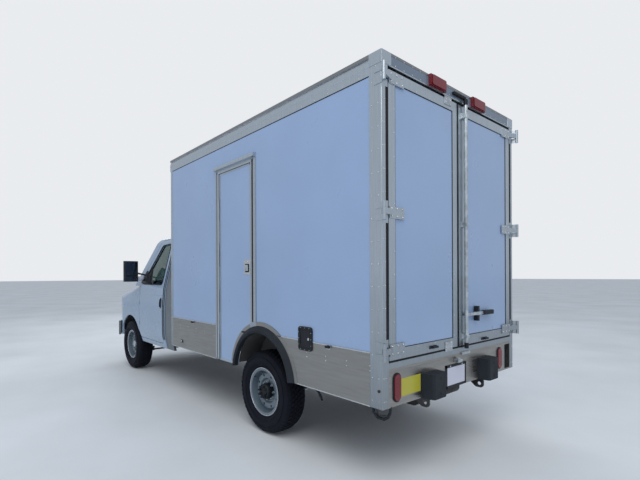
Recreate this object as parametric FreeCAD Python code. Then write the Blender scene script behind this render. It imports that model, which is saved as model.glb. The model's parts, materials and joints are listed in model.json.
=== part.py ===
import FreeCAD, Part
import math
import os

# A box truck: a ladder chassis with a van cab and a panel-walled cargo box.
# Sizes are in millimetres. X points forward, Y to the driver's side, Z up.
# The origin is on the ground, under the middle of the truck's overall box.

V = FreeCAD.Vector

# Overall layout
front_overhang = 863.1
box_rear_overhang = 1403.0
dock_bumper_depth = 90.0
box_length = 3353.0
surround_depth = 215.0
box_width = 2000.0
box_top = 2950.0
skirt_bottom = 570.0
cab_back_behind_axle = 1340.0

# The chassis is as long as the box and the cab ask for
wheelbase = box_length - box_rear_overhang + surround_depth + cab_back_behind_axle
overall_length = front_overhang + wheelbase + box_rear_overhang + dock_bumper_depth
rear_x = -overall_length / 2 + dock_bumper_depth + box_rear_overhang
front_x = rear_x + wheelbase
box_back = rear_x - box_rear_overhang
box_front = box_back + box_length
cab_back = front_x - cab_back_behind_axle
box_side = box_width / 2
wide = box_side + 200.0

# Wheels and tyres
tyre_radius = 378.0
tyre_width = 246.0
tyre_shoulder_radius = 34.0
tyre_widest_radius = 272.0
axle_height = tyre_radius
rim_radius = 203.0
rim_flange_radius = 222.0
rim_width = 190.0
rim_thickness = 9.0
rim_well_radius = 168.0
disc_recess = 48.0
disc_thickness = 14.0
disc_bowl_radius = 118.0
disc_bowl_depth = 22.0
hub_bore_radius = 62.0
stud_circle_radius = 82.5
stud_count = 8
stud_radius = 11.0
stud_length = 26.0
hand_hole_count = 8
hand_hole_radius = 13.0
hand_hole_circle = 145.0
front_track_half = 881.5
rear_track_half = 851.0
front_hub_radius = 55.0
front_hub_proud = 18.0
rear_hub_radius = 68.0
rear_hub_proud = 46.0
spindle_radius = 30.0
bearing_clearance = 0.05
hub_cap_thickness = 12.0
spindle_end_gap = 3.0
hub_inner_reach = 120.0
drum_radius = 150.0
drum_width = 38.0
drum_gap = 7.0
axle_tube_radius = 44.0

# Rear suspension
rear_spring_y = 478.0
spring_pad_height = 52.0
leaf_half_lengths = (690.0, 560.0, 430.0, 300.0)
leaf_thickness = 11.0
leaf_camber = 60.0

# Engine and gearbox
engine_front = 300.0
engine_back = 760.0
engine_half_width = 240.0
engine_bottom = 520.0
engine_top = 1040.0
gearbox_back = 1140.0
gearbox_z = 572.0

# Steering
kingpin_y = 722.0
kingpin_radius = 14.0
kingpin_boss_radius = 36.0
kingpin_boss_height = 96.0
kingpin_face_gap = 0.5
knuckle_lug_height = 26.0
steering_arm = 150.0
steering_arm_drop = 70.0
tie_rod_radius = 13.0
front_spring_y = 492.0
tie_rod_gap = 0.6

# Ladder frame
rail_height = 165.0
rail_top = 700.0
rail_outer_y = 435.0
rail_flange = 62.0
rail_thickness = 7.0
rail_front_x = front_x + 760.0
rail_back_x = box_back + 60.0
crossmember_height = 70.0
crossmember_width = 60.0
cab_mount_offsets = (-1330.0, -640.0)
crossmember_places = (rear_x - 1180.0, rear_x - 480.0, rear_x + 560.0, rear_x + 1250.0,
                      front_x - 1455.0, front_x + 645.0)

# Cargo box
wall = 28.0
side_sheet_bottom = 790.0
skirt_top = 937.0
skirt_sheet = 4.0
skirt_lip = 30.0
floor_top = 870.0
deck_thickness = 40.0
deck_sill_height = 60.0
deck_sill_width = 50.0
deck_sill_pitch = 420.0
long_sill_width = 62.0
roof_thickness = 30.0
rail_depth = 144.0
rail_cap_height = 86.0
rail_cap_lean = 16.0
rail_proud = 6.0
top_rail_flange = 80.0
front_post_width = 70.0
rear_post_depth = 103.0
rear_post_width = 62.0
header_height = 92.0
header_depth = 62.0
portal_sill_height = 30.0
wheelhouse_inner_y = 700.0
wheelhouse_sheet = 8.0

# Rear wheel arch
arch_ahead = -40.0
arch_centre_z = 518.0
arch_radius = 440.0
flare_inner_radius = 414.0
flare_outer_radius = 478.0
flare_proud = 42.0
arch_trim_radius = 515.0
arch_trim_proud = 2.5
arch_x = rear_x + arch_ahead

# Rear doors
door_gap = 6.0
rear_door_thickness = 32.0
rear_door_top_gap = 22.0
rear_door_bottom = 885.0
rear_door_top = box_top - header_height - rear_door_top_gap
rear_door_middle = (rear_door_bottom + rear_door_top) / 2
rear_door_meeting_gap = 30.0
rear_door_meeting_y = 25.0
stile_width = 74.0
meeting_stile_left = 64.0
meeting_stile_right = 120.0
rear_door_rail = 75.0
rear_door_panel_inset = 5.0
hinge_pin_out = 24.0
hinge_pin_back = 34.0
hinge_pin_radius = 7.0
hinge_barrel_radius = 13.0
hinge_barrel_length = 120.0
hinge_strap_length = 170.0
hinge_strap_height = 80.0
hinge_strap_thickness = 7.0
hinge_heights = (rear_door_bottom + 70.0, rear_door_middle + 20.0, rear_door_top - 51.0)
pin_clearance = 0.1
lock_rod_radius = 15.0
lock_rod_y = -60.0
lock_rod_out = 24.0
lock_guide_heights = (rear_door_bottom + 75.0, rear_door_middle + 10.0, rear_door_top - 86.0)
lock_handle_z = rear_door_bottom + 250.0
lock_keeper_reach = 185.0
lock_handle_reach = 355.0

# Side door on the driver's side, measured forward from the rear axle
side_frame_back = 30.0
side_frame_front = 773.0
side_frame_top = box_top - 340.0
side_leaf_back = 122.0
side_leaf_front = 698.0
side_leaf_top = side_frame_top - 80.0
side_leaf_bottom = 575.0
side_leaf_thickness = 35.0
side_gap = 5.0
side_pin_out = 13.0
side_pin_radius = 3.0
side_barrel_radius = 6.0
side_hinge_leaf = 24.0
side_hinge_sheet = 3.5
side_knuckle_length = 240.0
side_knuckle_gap = 1.0
drip_cap_height = 45.0
drip_cap_out = 30.0
jamb_proud = 6.0

# Cab
cab_wall = 45.0
cab_bottom = 480.0
cab_half_width = 1007.0
firewall_back = 540.0
firewall_thickness = 25.0
cab_floor_z = 720.0
cab_floor_thickness = 25.0
cab_floor_half_width = 640.0
cowl_z = 1236.0
cowl_thickness = 25.0
nose_skin = 20.0
hood_skin = 18.0
hood_gap = 6.0
hood_rear_half = 800.0
hood_middle_half = 730.0
hood_front_half = 650.0
cowl_line = -125.0
nose_top = 1306.0
front_arch_radius = 445.0
front_arch_z = 400.0
front_arch_inner_y = 480.0
cab_door_front = 400.0
cab_door_back = 1270.0
cab_window_back = 1200.0
cab_door_bottom = 545.0
cab_door_gap = 6.0
cab_hinge_gap = 9.0
cab_pin_back = 8.0
cab_pin_y = 994.0
cab_pin_radius = 5.0
cab_pin_heights = (760.0, 1060.0)
cab_bracket_height = 40.0
surround_inset = 10.0
surround_sheet = 30.0
cab_pillar_y = 820.0
hinge_pillar_outer_y = 976.0
screen_bottom = 1385.0
screen_top = 1975.0
screen_bottom_half = 855.0
screen_top_half = 715.0
hood_pin_x = front_x - 104.0
hood_pin_z = 1281.0
hood_pin_radius = 4.0
hood_hinge_ys = (-560.0, 560.0)
glass_depth = 16.0
glass_thickness = 5.0
mirror_behind_axle = 500.0
mirror_inner_y = 1070.0
mirror_outer_y = 1270.0
mirror_bottom = 1378.0
mirror_top = 1680.0
mirror_arm_heights = (1395.0, 1470.0)
mirror_arm_root_y = 940.0
mirror_arm_radius = 12.0
mirror_half_depth = 60.0
mirror_rim = 14.0
mirror_glass_recess = 6.0
mirror_glass_split = 1462.0
lamp_inner_y = 563.0
grille_slots = 5
grille_first_slot = 746.0
grille_pitch = 62.0
grille_slot_height = 40.0
grille_side_bar = 38.0
bumper_gap = 14.0
bumper_reach = 50.0
liner_radius = 490.0
liner_sheet = 5.0

# Lamps and rear fittings
tail_lamp_ys = (850.0, -705.0)
tail_lamp_z = 696.0
clearance_lamp_ys = (338.0, -298.0)
clearance_lamp_half_width = 95.0
clearance_lamp_bottom = box_top - 78.0
clearance_lamp_top = box_top - 6.0
clearance_lamp_proud = 30.0
pocket_outer_y = -928.0
pocket_inner_y = -818.0
pocket_bottom = 582.0
pocket_top = 806.0
pocket_depth = 40.0
seam_z = 808.0
seam_width = 3.0
seam_depth = 1.5
seam_inner_y = 300.0
filler_back = 733.0
filler_front = 571.0
filler_bottom = 859.0
filler_top = 1049.0
filler_corner = 24.0
filler_proud = 9.0
filler_rim = 18.0
filler_recess = 4.0

# Seats and dashboard, measured back from the front axle
driver_y = 495.0
pedestal_back = 1240.0
pedestal_front = 840.0
pedestal_inner_y = 340.0
pedestal_outer_y = 620.0
pedestal_corner = 20.0
pedestal_top = 880.0
seat_seam = 0.3
cushion_back = 1285.0
cushion_front = 780.0
cushion_back_top = 985.0
cushion_front_top = 1005.0
cushion_half_width = 215.0
backrest_half_width = 210.0
backrest_thickness = 92.0
backrest_lean = 63.0
backrest_top = 1560.0
headrest_top = 1730.0
headrest_thickness = 75.0
headrest_half_width = 130.0
dash_front = 232.0
dash_back = 690.0
dash_half_width = 815.0
dash_bottom = 960.0
dash_front_z = 1290.0
dash_top = 1312.0
binnacle_top = 1362.0
binnacle_half_width = 210.0
cover_back = 1010.0
cover_half_width = 275.0
cover_sheet = 16.0
steering_wheel_back = 930.0
steering_wheel_z = 1212.0
steering_wheel_radius = 190.0
steering_grip_radius = 15.0
steering_hub_radius = 42.0
steering_spoke_radius = 11.0
steering_column_length = 260.0
steering_column_radius = 34.0
tail_lamp_height = 180.0
tail_lamp_width = 70.0
tail_lamp_proud = 12.0
dock_bumper_height = 180.0
dock_bumper_width = 200.0
dock_bumper_ys = (446.0, -406.0)
dock_bumper_taper = 16.0
dock_bumper_z = 655.0
tow_eye_radius = 16.0
tow_eye_plate = 12.0
tow_eye_z = 500.0
steering_hub_depth = 34.0
tank_back = 1230.0
tank_front = 420.0
tank_height = 210.0
tank_half_width = 320.0
exhaust_y = 555.0
exhaust_z = 520.0
muffler_front_share = 0.57
muffler_back_share = 0.40
plate_hole_spacing = 178.0
plate_hole_radius = 3.5
plate_y = 68.5
plate_hole_z = 735.0

os.makedirs("parts", exist_ok=True)

PLANES = {
    "xy": (lambda a, b, c: V(a, b, c), V(0, 0, 1)),
    "xz": (lambda a, b, c: V(a, c, b), V(0, 1, 0)),
    "yz": (lambda a, b, c: V(c, a, b), V(1, 0, 0)),
}


def outline(corners, place):
    """Closed wire of straight sides, each corner (a, b, r) rounded to its radius."""
    count = len(corners)
    joints = []
    for i in range(count):
        before = corners[i - 1]
        here = corners[i]
        after = corners[(i + 1) % count]
        radius = here[2] if len(here) > 2 else 0.0
        point = V(here[0], here[1], 0)
        if radius <= 0:
            joints.append((point, None, point))
            continue
        came = (point - V(before[0], before[1], 0)).normalize()
        goes = (V(after[0], after[1], 0) - point).normalize()
        turn = came.getAngle(goes)
        reach = radius * math.tan(turn / 2)
        inward = (goes - came).normalize()
        middle = point + inward * (radius / math.cos(turn / 2) - radius)
        joints.append((point - came * reach, middle, point + goes * reach))
    edges = []
    for i in range(count):
        start, middle, end = joints[i]
        following = joints[(i + 1) % count][0]
        if middle is not None:
            edges.append(Part.Arc(place(start), place(middle), place(end)).toShape())
        if (following - end).Length > 1e-6:
            edges.append(Part.LineSegment(place(end), place(following)).toShape())
    return Part.Wire(edges)


def flat_wire(corners, plane, level, inset=0.0):
    """An outline in one of the main planes, moved inwards by inset."""
    put = PLANES[plane][0]
    wire = outline(corners, lambda p: put(p.x, p.y, level))
    if inset:
        wire = wire.makeOffset2D(-inset)
    return wire


def prism(corners, plane, low, high, inset=0.0):
    """An outline carried straight along the axis across its plane."""
    along = PLANES[plane][1]
    return Part.Face(flat_wire(corners, plane, low, inset)).extrude(along * (high - low))


def block(x0, x1, y0, y1, z0, z1):
    return Part.makeBox(x1 - x0, y1 - y0, z1 - z0, V(x0, y0, z0))


def rod(start, end, radius):
    along = end - start
    return Part.makeCylinder(radius, along.Length, start, along)


def joined(shapes):
    shapes = list(shapes)
    whole = shapes[0]
    if len(shapes) > 1:
        whole = whole.fuse(shapes[1:])
    return whole.removeSplitter()


def other_side(shape):
    return shape.mirror(V(0, 0, 0), V(0, 1, 0))


def both_sides(shape):
    return [shape, other_side(shape)]


def save(name, shapes):
    """Write a node's solids, each of which has to be sound."""
    solids = [solid for shape in shapes for solid in shape.Solids]
    for solid in solids:
        if not solid.isValid() or solid.Volume <= 0:
            raise ValueError("unsound solid in " + name)
    whole = solids[0] if len(solids) == 1 else Part.makeCompound(solids)
    whole.exportStep("parts/" + name + ".step")
    print(name, len(solids), "solids", sum(len(s.Faces) for s in solids), "faces")


def forward(offset):
    """X of a place measured forward from the front axle."""
    return front_x + offset


def shift(corners, offset):
    return [(c[0] + offset,) + tuple(c[1:]) for c in corners]


def mirrored_corners(half):
    """Left half of an outline, closed by its mirror image."""
    return half + [(-c[0],) + tuple(c[1:]) for c in reversed(half)]


# Cab body: the outer surface is where three outlines meet
cab_section = mirrored_corners([
    (900.0, 200.0, 0.0), (1003.0, 660.0, 250.0), (cab_half_width, 1010.0, 900.0),
    (985.0, 1290.0, 200.0), (812.0, 1995.0, 130.0), (420.0, 2080.0, 1200.0),
])
hood_rise = (910.0, 195.0)
screen_base = (-180.0, 1335.0)
cab_profile = [
    (-1800.0, 200.0, 0.0), (-1800.0, 2104.0, 0.0), (-790.0, 2077.0, 220.0),
    (screen_base[0], screen_base[1], 40.0),
    (screen_base[0] + hood_rise[0], screen_base[1] - hood_rise[1], 110.0),
    (803.0, 880.0, 200.0), (790.0, 200.0, 0.0),
]
cab_plan = [
    (-1800.0, 1020.0, 0.0), (300.0, 1020.0, 700.0), (700.0, 925.0, 250.0), (790.0, 640.0, 200.0),
    (815.0, 0.0, 2500.0),
    (790.0, -640.0, 200.0), (700.0, -925.0, 250.0), (300.0, -1020.0, 700.0), (-1800.0, -1020.0, 0.0),
]
nose_section = mirrored_corners([
    (1010.0, -1200.0, 0.0), (1010.0, -35.0, 150.0), (600.0, -4.0, 1500.0),
])
# Seen from the side: the door and its window, measured from the front axle
cab_door_outline = [
    (-cab_door_front, cab_door_bottom, 30.0), (-cab_door_front, 1400.0, 40.0),
    (-875.0, 1965.0, 90.0), (-cab_door_back, 1985.0, 60.0), (-cab_door_back, cab_door_bottom, 60.0),
]
cab_window_outline = [
    (-470.0, 1345.0, 30.0), (-545.0, 1435.0, 60.0), (-925.0, 1890.0, 70.0),
    (-cab_window_back, 1904.0, 50.0), (-cab_window_back, 1345.0, 40.0),
]


def cab_profile_prism(inset):
    return prism(shift(cab_profile, front_x), "xz", -1100.0, 1100.0, inset)


def cab_plan_prism(inset):
    return prism(shift(cab_plan, front_x), "xy", 150.0, 2300.0, inset)


def cab_section_prism(inset):
    return prism(cab_section, "yz", forward(-1700.0), forward(900.0), inset)


made = {}


def kept(make):
    """Make a body once for each inset and hand out the same shape afterwards."""
    def find(inset):
        key = (make.__name__, inset)
        if key not in made:
            made[key] = make(inset)
        return made[key]
    return find


@kept
def cabin_body(inset):
    """The cabin's outer surface, or one that lies inset inside it."""
    body = cab_section_prism(inset)
    for other in (cab_profile_prism(inset), cab_plan_prism(inset)):
        body = body.common(other)
    return body


@kept
def nose_body(inset):
    """The nose: shoulders that follow the slope of the hood."""
    level = 900.0
    top = screen_base[1] - (level - screen_base[0]) * hood_rise[1] / hood_rise[0]
    corners = [(c[0], c[1] + top, c[2]) for c in nose_section]
    face = Part.Face(flat_wire(corners, "yz", forward(level), inset))
    reach = 1500.0
    body = face.extrude(V(-reach, 0, reach * hood_rise[1] / hood_rise[0]))
    for other in (cab_section_prism(inset), cab_profile_prism(inset), cab_plan_prism(inset)):
        body = body.common(other)
    return body


def front_arches(radius):
    """Room for the two front wheels, open outwards."""
    one = rod(V(front_x, front_arch_inner_y, front_arch_z), V(front_x, wide, front_arch_z), radius)
    return one.fuse(other_side(one))


def floor_pan():
    """Raised middle floor with a step well down to the sill on each side."""
    low = cab_bottom
    t = cab_floor_thickness
    inner = cab_floor_half_width
    corners = mirrored_corners([
        (960.0, low, 0.0), (960.0, low + t, 0.0), (inner + t, low + t, 0.0),
        (inner + t, cab_floor_z + t, 0.0),
    ])
    under = mirrored_corners([(inner, low - t, 0.0), (inner, cab_floor_z, 0.0)])
    pan = prism(corners, "yz", cab_back, forward(-firewall_back + t))
    return pan.cut(prism(under, "yz", cab_back, forward(-firewall_back + t)))


def seat_pedestals():
    one = prism(
        [(forward(-pedestal_back), pedestal_inner_y, pedestal_corner),
         (forward(-pedestal_front), pedestal_inner_y, pedestal_corner),
         (forward(-pedestal_front), pedestal_outer_y, pedestal_corner),
         (forward(-pedestal_back), pedestal_outer_y, pedestal_corner)],
        "xy", cab_floor_z + cab_floor_thickness - 1.0, pedestal_top)
    return both_sides(one)


def cab_floor():
    """Floor pan, firewall and seat pedestals, seated against the inside of the cab's skin."""
    firewall = block(forward(-firewall_back), forward(-firewall_back + firewall_thickness),
                     -cab_pillar_y, cab_pillar_y, cab_bottom, cowl_z)
    under = block(forward(-firewall_back - 10.0), forward(-400.0), -cab_floor_half_width,
                  cab_floor_half_width, cab_bottom - 10.0, cab_floor_z)
    floor = joined([firewall.cut(under), floor_pan()] + seat_pedestals())
    floor = floor.common(cabin_body(cab_wall))
    hatch = block(forward(-1000.0), forward(-firewall_back + 40.0), -250.0, 250.0, cab_floor_z - 5.0, 1150.0)
    floor = floor.cut(hatch)
    return floor.cut(front_arches(front_arch_radius))


def cab_hinge_brackets():
    """Pillar brackets with the pins on which the driver's door turns."""
    parts = []
    pin_x = forward(-cab_door_front - cab_pin_back)
    for z in cab_pin_heights:
        low = z - cab_bracket_height / 2
        high = z + cab_bracket_height / 2
        parts.append(block(pin_x - 8.0, forward(-cab_door_front + 30.0), hinge_pillar_outer_y - 16.0,
                           hinge_pillar_outer_y, low, high))
        parts.append(block(pin_x - 6.0, pin_x + 6.0, 970.0, cab_pin_y, low, high))
        parts.append(rod(V(pin_x, cab_pin_y, low), V(pin_x, cab_pin_y, high), 7.0))
        parts.append(rod(V(pin_x, cab_pin_y, z - 45.0), V(pin_x, cab_pin_y, z + 45.0), cab_pin_radius))
    return parts


def cab_hinge_pillar():
    """Box section ahead of the door that carries its hinges."""
    top = nose_top - 6.0
    ahead = block(forward(-cab_door_front + 12.0), forward(-345.0), cab_pillar_y, hinge_pillar_outer_y,
                  600.0, top)
    inside = block(forward(-firewall_back), forward(-cab_door_front + 20.0), cab_pillar_y, 890.0,
                   cab_bottom + cab_floor_thickness, top)
    return ahead.fuse(inside)


def cowl_and_dam():
    """Shelf under the rear of the hood, and the upstand that the windscreen stands on."""
    top = cowl_z + cowl_thickness
    cowl = block(forward(-firewall_back), forward(cowl_line), -900.0, 900.0, cowl_z, top)
    cowl = cowl.fuse(block(forward(cowl_line - 5.0), hood_pin_x + 14.0, -780.0, 780.0, cowl_z, top))
    dam = block(forward(-225.0), forward(-200.0), -880.0, 880.0, cowl_z, screen_base[1])
    return [cowl, dam]


def cab_doorway():
    """Room of the left door with its gap, deeper above the belt line."""
    outline_corners = shift(cab_door_outline, front_x)
    doorway = prism(outline_corners, "xz", 895.0, wide, -cab_door_gap)
    ledge = block(forward(-cab_door_front), forward(-cab_door_front + cab_hinge_gap), 895.0, wide,
                  cab_door_bottom, 1400.0)
    upper = prism(outline_corners, "xz", 600.0, wide, -cab_door_gap)
    upper = upper.common(block(forward(-1500.0), forward(0.0), 600.0, wide, 1250.0, 2300.0))
    return doorway.fuse(ledge).fuse(upper)


def cab_shell():
    """Roof, pillars, cowl and screen dam, open at the back, the doors and the screen."""
    skin = cabin_body(0.0).cut(cabin_body(cab_wall))
    keep = block(cab_back, forward(-cab_door_front + 5.0), -wide, wide, cab_bottom, 2300.0)
    keep = keep.fuse(block(cab_back, forward(screen_base[0]), -wide, wide, nose_top + 4.0, 2300.0))
    skin = skin.common(keep)
    inside = cowl_and_dam() + both_sides(cab_hinge_pillar())
    within = cabin_body(nose_skin + 2.0)
    shoulders = nose_shell()
    solid = joined([skin] + [piece.common(within).cut(shoulders) for piece in inside])
    for cut in both_sides(cab_doorway()):
        solid = solid.cut(cut)
    solid = solid.cut(screen_opening())
    solid = solid.cut(front_arches(front_arch_radius))
    brackets = joined(cab_hinge_brackets())
    return joined([solid, hood_hinge_stands()] + both_sides(brackets))


def screen_opening():
    half = [(screen_bottom_half, screen_bottom, 40.0), (screen_top_half, screen_top, 60.0)]
    return prism(mirrored_corners(half), "yz", forward(-790.0), forward(-100.0))


def windscreen():
    pane = cabin_body(glass_depth).cut(cabin_body(glass_depth + 7.0))
    return pane.common(screen_opening())


def hood_plan(grow, rear_gap, low, high):
    """Upright prism over the hood's plan, grown at the sides and kept rear_gap off the cowl."""
    rear = cowl_line + rear_gap
    half = [(rear, hood_rear_half + grow), (650.0, hood_middle_half + grow), (900.0, hood_front_half + grow)]
    corners = half + [(x, -y) for x, y in reversed(half)]
    return prism(shift(corners, front_x), "xy", low, high)


def hood_region(gap):
    """Room of the hood's panel, narrowed by gap on every free edge."""
    return hood_plan(-gap, gap, 1090.0 + gap, 1500.0)


def grille_opening():
    return prism(mirrored_corners([(870.0, 720.0, 40.0), (870.0, 1060.0, 50.0)]),
                 "yz", forward(560.0), forward(900.0))


def nose_shell():
    """Skin of the nose between the grille and the doors."""
    skin = nose_body(0.0).cut(nose_body(nose_skin))
    keep = block(forward(-cab_door_front + cab_hinge_gap), forward(900.0), -wide, wide, cab_bottom, nose_top)
    behind = block(forward(-cab_door_front), forward(cowl_line), -hood_rear_half, hood_rear_half,
                   900.0, 1400.0)
    return skin.common(keep).cut(behind)


def front_fenders():
    """Nose skin with its arches, the grille opening and the aprons under the hood's edges."""
    skin = nose_shell().cut(hood_region(0.0))
    skin = skin.cut(grille_opening())
    skin = skin.cut(front_arches(front_arch_radius))
    apron = hood_plan(12.0, 0.0, front_arch_z, 1400.0).cut(hood_plan(0.0, 0.0, 0.0, 1500.0))
    apron = apron.common(nose_body(nose_skin - 2.0))
    apron = apron.common(block(forward(cowl_line), forward(640.0), -1000.0, 1000.0, 700.0, 1400.0))
    apron = apron.cut(front_arches(liner_radius + 0.6))
    horns = both_sides(block(forward(600.0), forward(900.0), rail_outer_y - rail_flange - 10.0,
                             rail_outer_y + 10.0, 550.0, 680.0))
    return joined([skin, apron]).cut(horns[0]).cut(horns[1])


def wheel_liner():
    """Inner fender round the left front wheel."""
    outer = rod(V(front_x, 505.0, front_arch_z), V(front_x, 1000.0, front_arch_z), liner_radius)
    inner = rod(V(front_x, 500.0, front_arch_z), V(front_x, 1010.0, front_arch_z), liner_radius - liner_sheet)
    shell = outer.cut(inner)
    shell = shell.common(block(forward(-600.0), forward(600.0), 400.0, 1000.0, 560.0, 1200.0))
    shell = shell.common(nose_body(nose_skin))
    return shell.cut(block(forward(-600.0), forward(-330.0), 812.0, 1100.0, 400.0, 1300.0))


def hood():
    """Hood panel with the two hinge eyes under its rear edge."""
    skin = nose_body(0.0).cut(nose_body(hood_skin)).common(hood_region(hood_gap))
    eyes = []
    for y in hood_hinge_ys:
        eye = rod(V(hood_pin_x, y - 10.0, hood_pin_z), V(hood_pin_x, y + 10.0, hood_pin_z), 11.0)
        web = block(hood_pin_x - 9.0, hood_pin_x + 11.0, y - 10.0, y + 10.0, hood_pin_z, hood_pin_z + 60.0)
        eyes.append(eye.fuse(web.common(nose_body(hood_skin - 2.0))))
    whole = joined([skin] + eyes)
    for y in hood_hinge_ys:
        whole = whole.cut(rod(V(hood_pin_x, y - 20.0, hood_pin_z), V(hood_pin_x, y + 20.0, hood_pin_z),
                              hood_pin_radius + pin_clearance))
    return whole


def hood_hinge_stands():
    """Stands on the cowl that carry the hood's pins."""
    parts = []
    for y in hood_hinge_ys:
        for side in (-1, 1):
            near = y + side * 11.0
            far = y + side * 19.0
            parts.append(block(hood_pin_x - 10.0, hood_pin_x + 10.0, min(near, far), max(near, far),
                               cowl_z + cowl_thickness - 1.0, hood_pin_z + 8.0))
        parts.append(rod(V(hood_pin_x, y - 19.0, hood_pin_z), V(hood_pin_x, y + 19.0, hood_pin_z),
                         hood_pin_radius))
    return joined(parts)


def cab_door():
    """Left door cut out of the cab's skin, with its window and the pockets round its hinges."""
    body = cabin_body(0.0).cut(cabin_body(cab_wall))
    leaf = body.common(prism(shift(cab_door_outline, front_x), "xz", 500.0, wide))
    leaf = leaf.cut(prism(shift(cab_window_outline, front_x), "xz", 500.0, wide))
    leaf = leaf.cut(front_arches(front_arch_radius))
    pin_x = forward(-cab_door_front - cab_pin_back)
    for z in cab_pin_heights:
        half = cab_bracket_height / 2 + 5.0
        leaf = leaf.cut(block(pin_x - 16.0, forward(-cab_door_front + 5.0), 945.0, wide, z - half, z + half))
        leaf = leaf.cut(rod(V(pin_x, cab_pin_y, z - 50.0), V(pin_x, cab_pin_y, z + 50.0),
                            cab_pin_radius + pin_clearance))
    return joined([leaf])


def cab_door_glass():
    pane = cabin_body(glass_depth).cut(cabin_body(glass_depth + glass_thickness))
    return pane.common(prism(shift(cab_window_outline, front_x), "xz", 500.0, wide))


def mirror():
    """Tall head on two arms that stand on a sail plate at the window's front corner."""
    sail_corners = [
        (-424.0, 1352.0, 12.0), (-428.0, 1398.0, 20.0), (-566.0, 1562.0, 24.0), (-640.0, 1352.0, 20.0),
    ]
    sail = cabin_body(-10.0).cut(cabin_body(0.0))
    sail = sail.common(prism(shift(sail_corners, front_x), "xz", 800.0, 1100.0))
    x = forward(-mirror_behind_axle)
    rear = x - mirror_half_depth
    front = x + mirror_half_depth - 10.0
    head = prism(
        [(rear, mirror_inner_y, 20.0), (front, mirror_inner_y, 50.0), (front, mirror_outer_y, 60.0),
         (rear, mirror_outer_y, 20.0)],
        "xy", mirror_bottom, mirror_top)
    for low, high in ((mirror_bottom, mirror_glass_split), (mirror_glass_split, mirror_top)):
        inner, outer = mirror_inner_y + mirror_rim, mirror_outer_y - mirror_rim
        bottom, top = low + mirror_rim / 2, high - mirror_rim / 2
        glass = [(inner, bottom, 10.0), (outer, bottom, 10.0), (outer, top, 10.0), (inner, top, 10.0)]
        head = head.cut(prism(glass, "yz", rear - 1.0, rear + mirror_glass_recess))
    arms = []
    for z in mirror_arm_heights:
        climb = z - mirror_arm_heights[0]
        root = V(forward(-mirror_behind_axle - 0.25 * climb), mirror_arm_root_y - 0.2 * climb, z)
        arm = rod(root, V(x, mirror_inner_y + 20.0, z + 40.0), mirror_arm_radius)
        arms.append(arm.cut(cabin_body(0.0)))
    return joined([sail, head] + arms)


def grille():
    """Grille panel between the lamps, with a row of wide slots."""
    band = nose_body(6.0).cut(nose_body(34.0))
    middle = block(forward(500.0), forward(900.0), -lamp_inner_y, lamp_inner_y, 600.0, 1200.0)
    panel = band.common(grille_opening()).common(middle)
    half = lamp_inner_y - grille_side_bar
    for i in range(grille_slots):
        z = grille_first_slot + i * grille_pitch
        slot = mirrored_corners([(half, z, 10.0), (half, z + grille_slot_height, 10.0)])
        panel = panel.cut(prism(slot, "yz", forward(560.0), forward(900.0)))
    return panel


def headlamp():
    band = nose_body(5.0).cut(nose_body(60.0))
    side = block(forward(500.0), forward(900.0), lamp_inner_y, box_side, 600.0, 1200.0)
    return band.common(grille_opening()).common(side)


def front_bumper():
    outer = prism(shift(cab_plan, front_x), "xy", 470.0, 700.0, -bumper_reach)
    inner = prism(shift(cab_plan, front_x), "xy", 400.0, 800.0, -bumper_gap)
    bar = outer.cut(inner)
    return bar.common(block(forward(560.0), forward(900.0), -1050.0, 1050.0, 470.0, 700.0))


def tyre(y):
    """Tyre turned about its axle, with a flat tread and rounded shoulders."""
    half = tyre_width / 2
    bead = rim_width / 2 - 17.0
    corners = [
        (rim_radius, bead, 0.0), (rim_flange_radius + 2.0, bead + 4.0, 6.0),
        (tyre_widest_radius, half, 60.0),
        (tyre_radius - 60.0, half, 60.0), (tyre_radius, half - 20.0, tyre_shoulder_radius),
        (tyre_radius, -half + 20.0, tyre_shoulder_radius), (tyre_radius - 60.0, -half, 60.0),
        (tyre_widest_radius, -half, 60.0), (rim_flange_radius + 2.0, -bead - 4.0, 6.0),
        (rim_radius, -bead, 0.0),
    ]
    return turned(corners, y)


def turned(corners, y):
    """A ring turned about a cross axle at height axle_height, from (radius, y) corners."""
    wire = outline(corners, lambda p: V(0, y + p.y, axle_height + p.x))
    return Part.Face(wire).revolve(V(0, y, axle_height), V(0, 1, 0), 360)


def hub_tip(hub_proud):
    """Outer end of a hub, measured outwards from the wheel's middle."""
    return rim_width / 2 - disc_recess + hub_proud


def spindle_tip(hub_proud):
    return hub_tip(hub_proud) - hub_cap_thickness - spindle_end_gap


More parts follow.
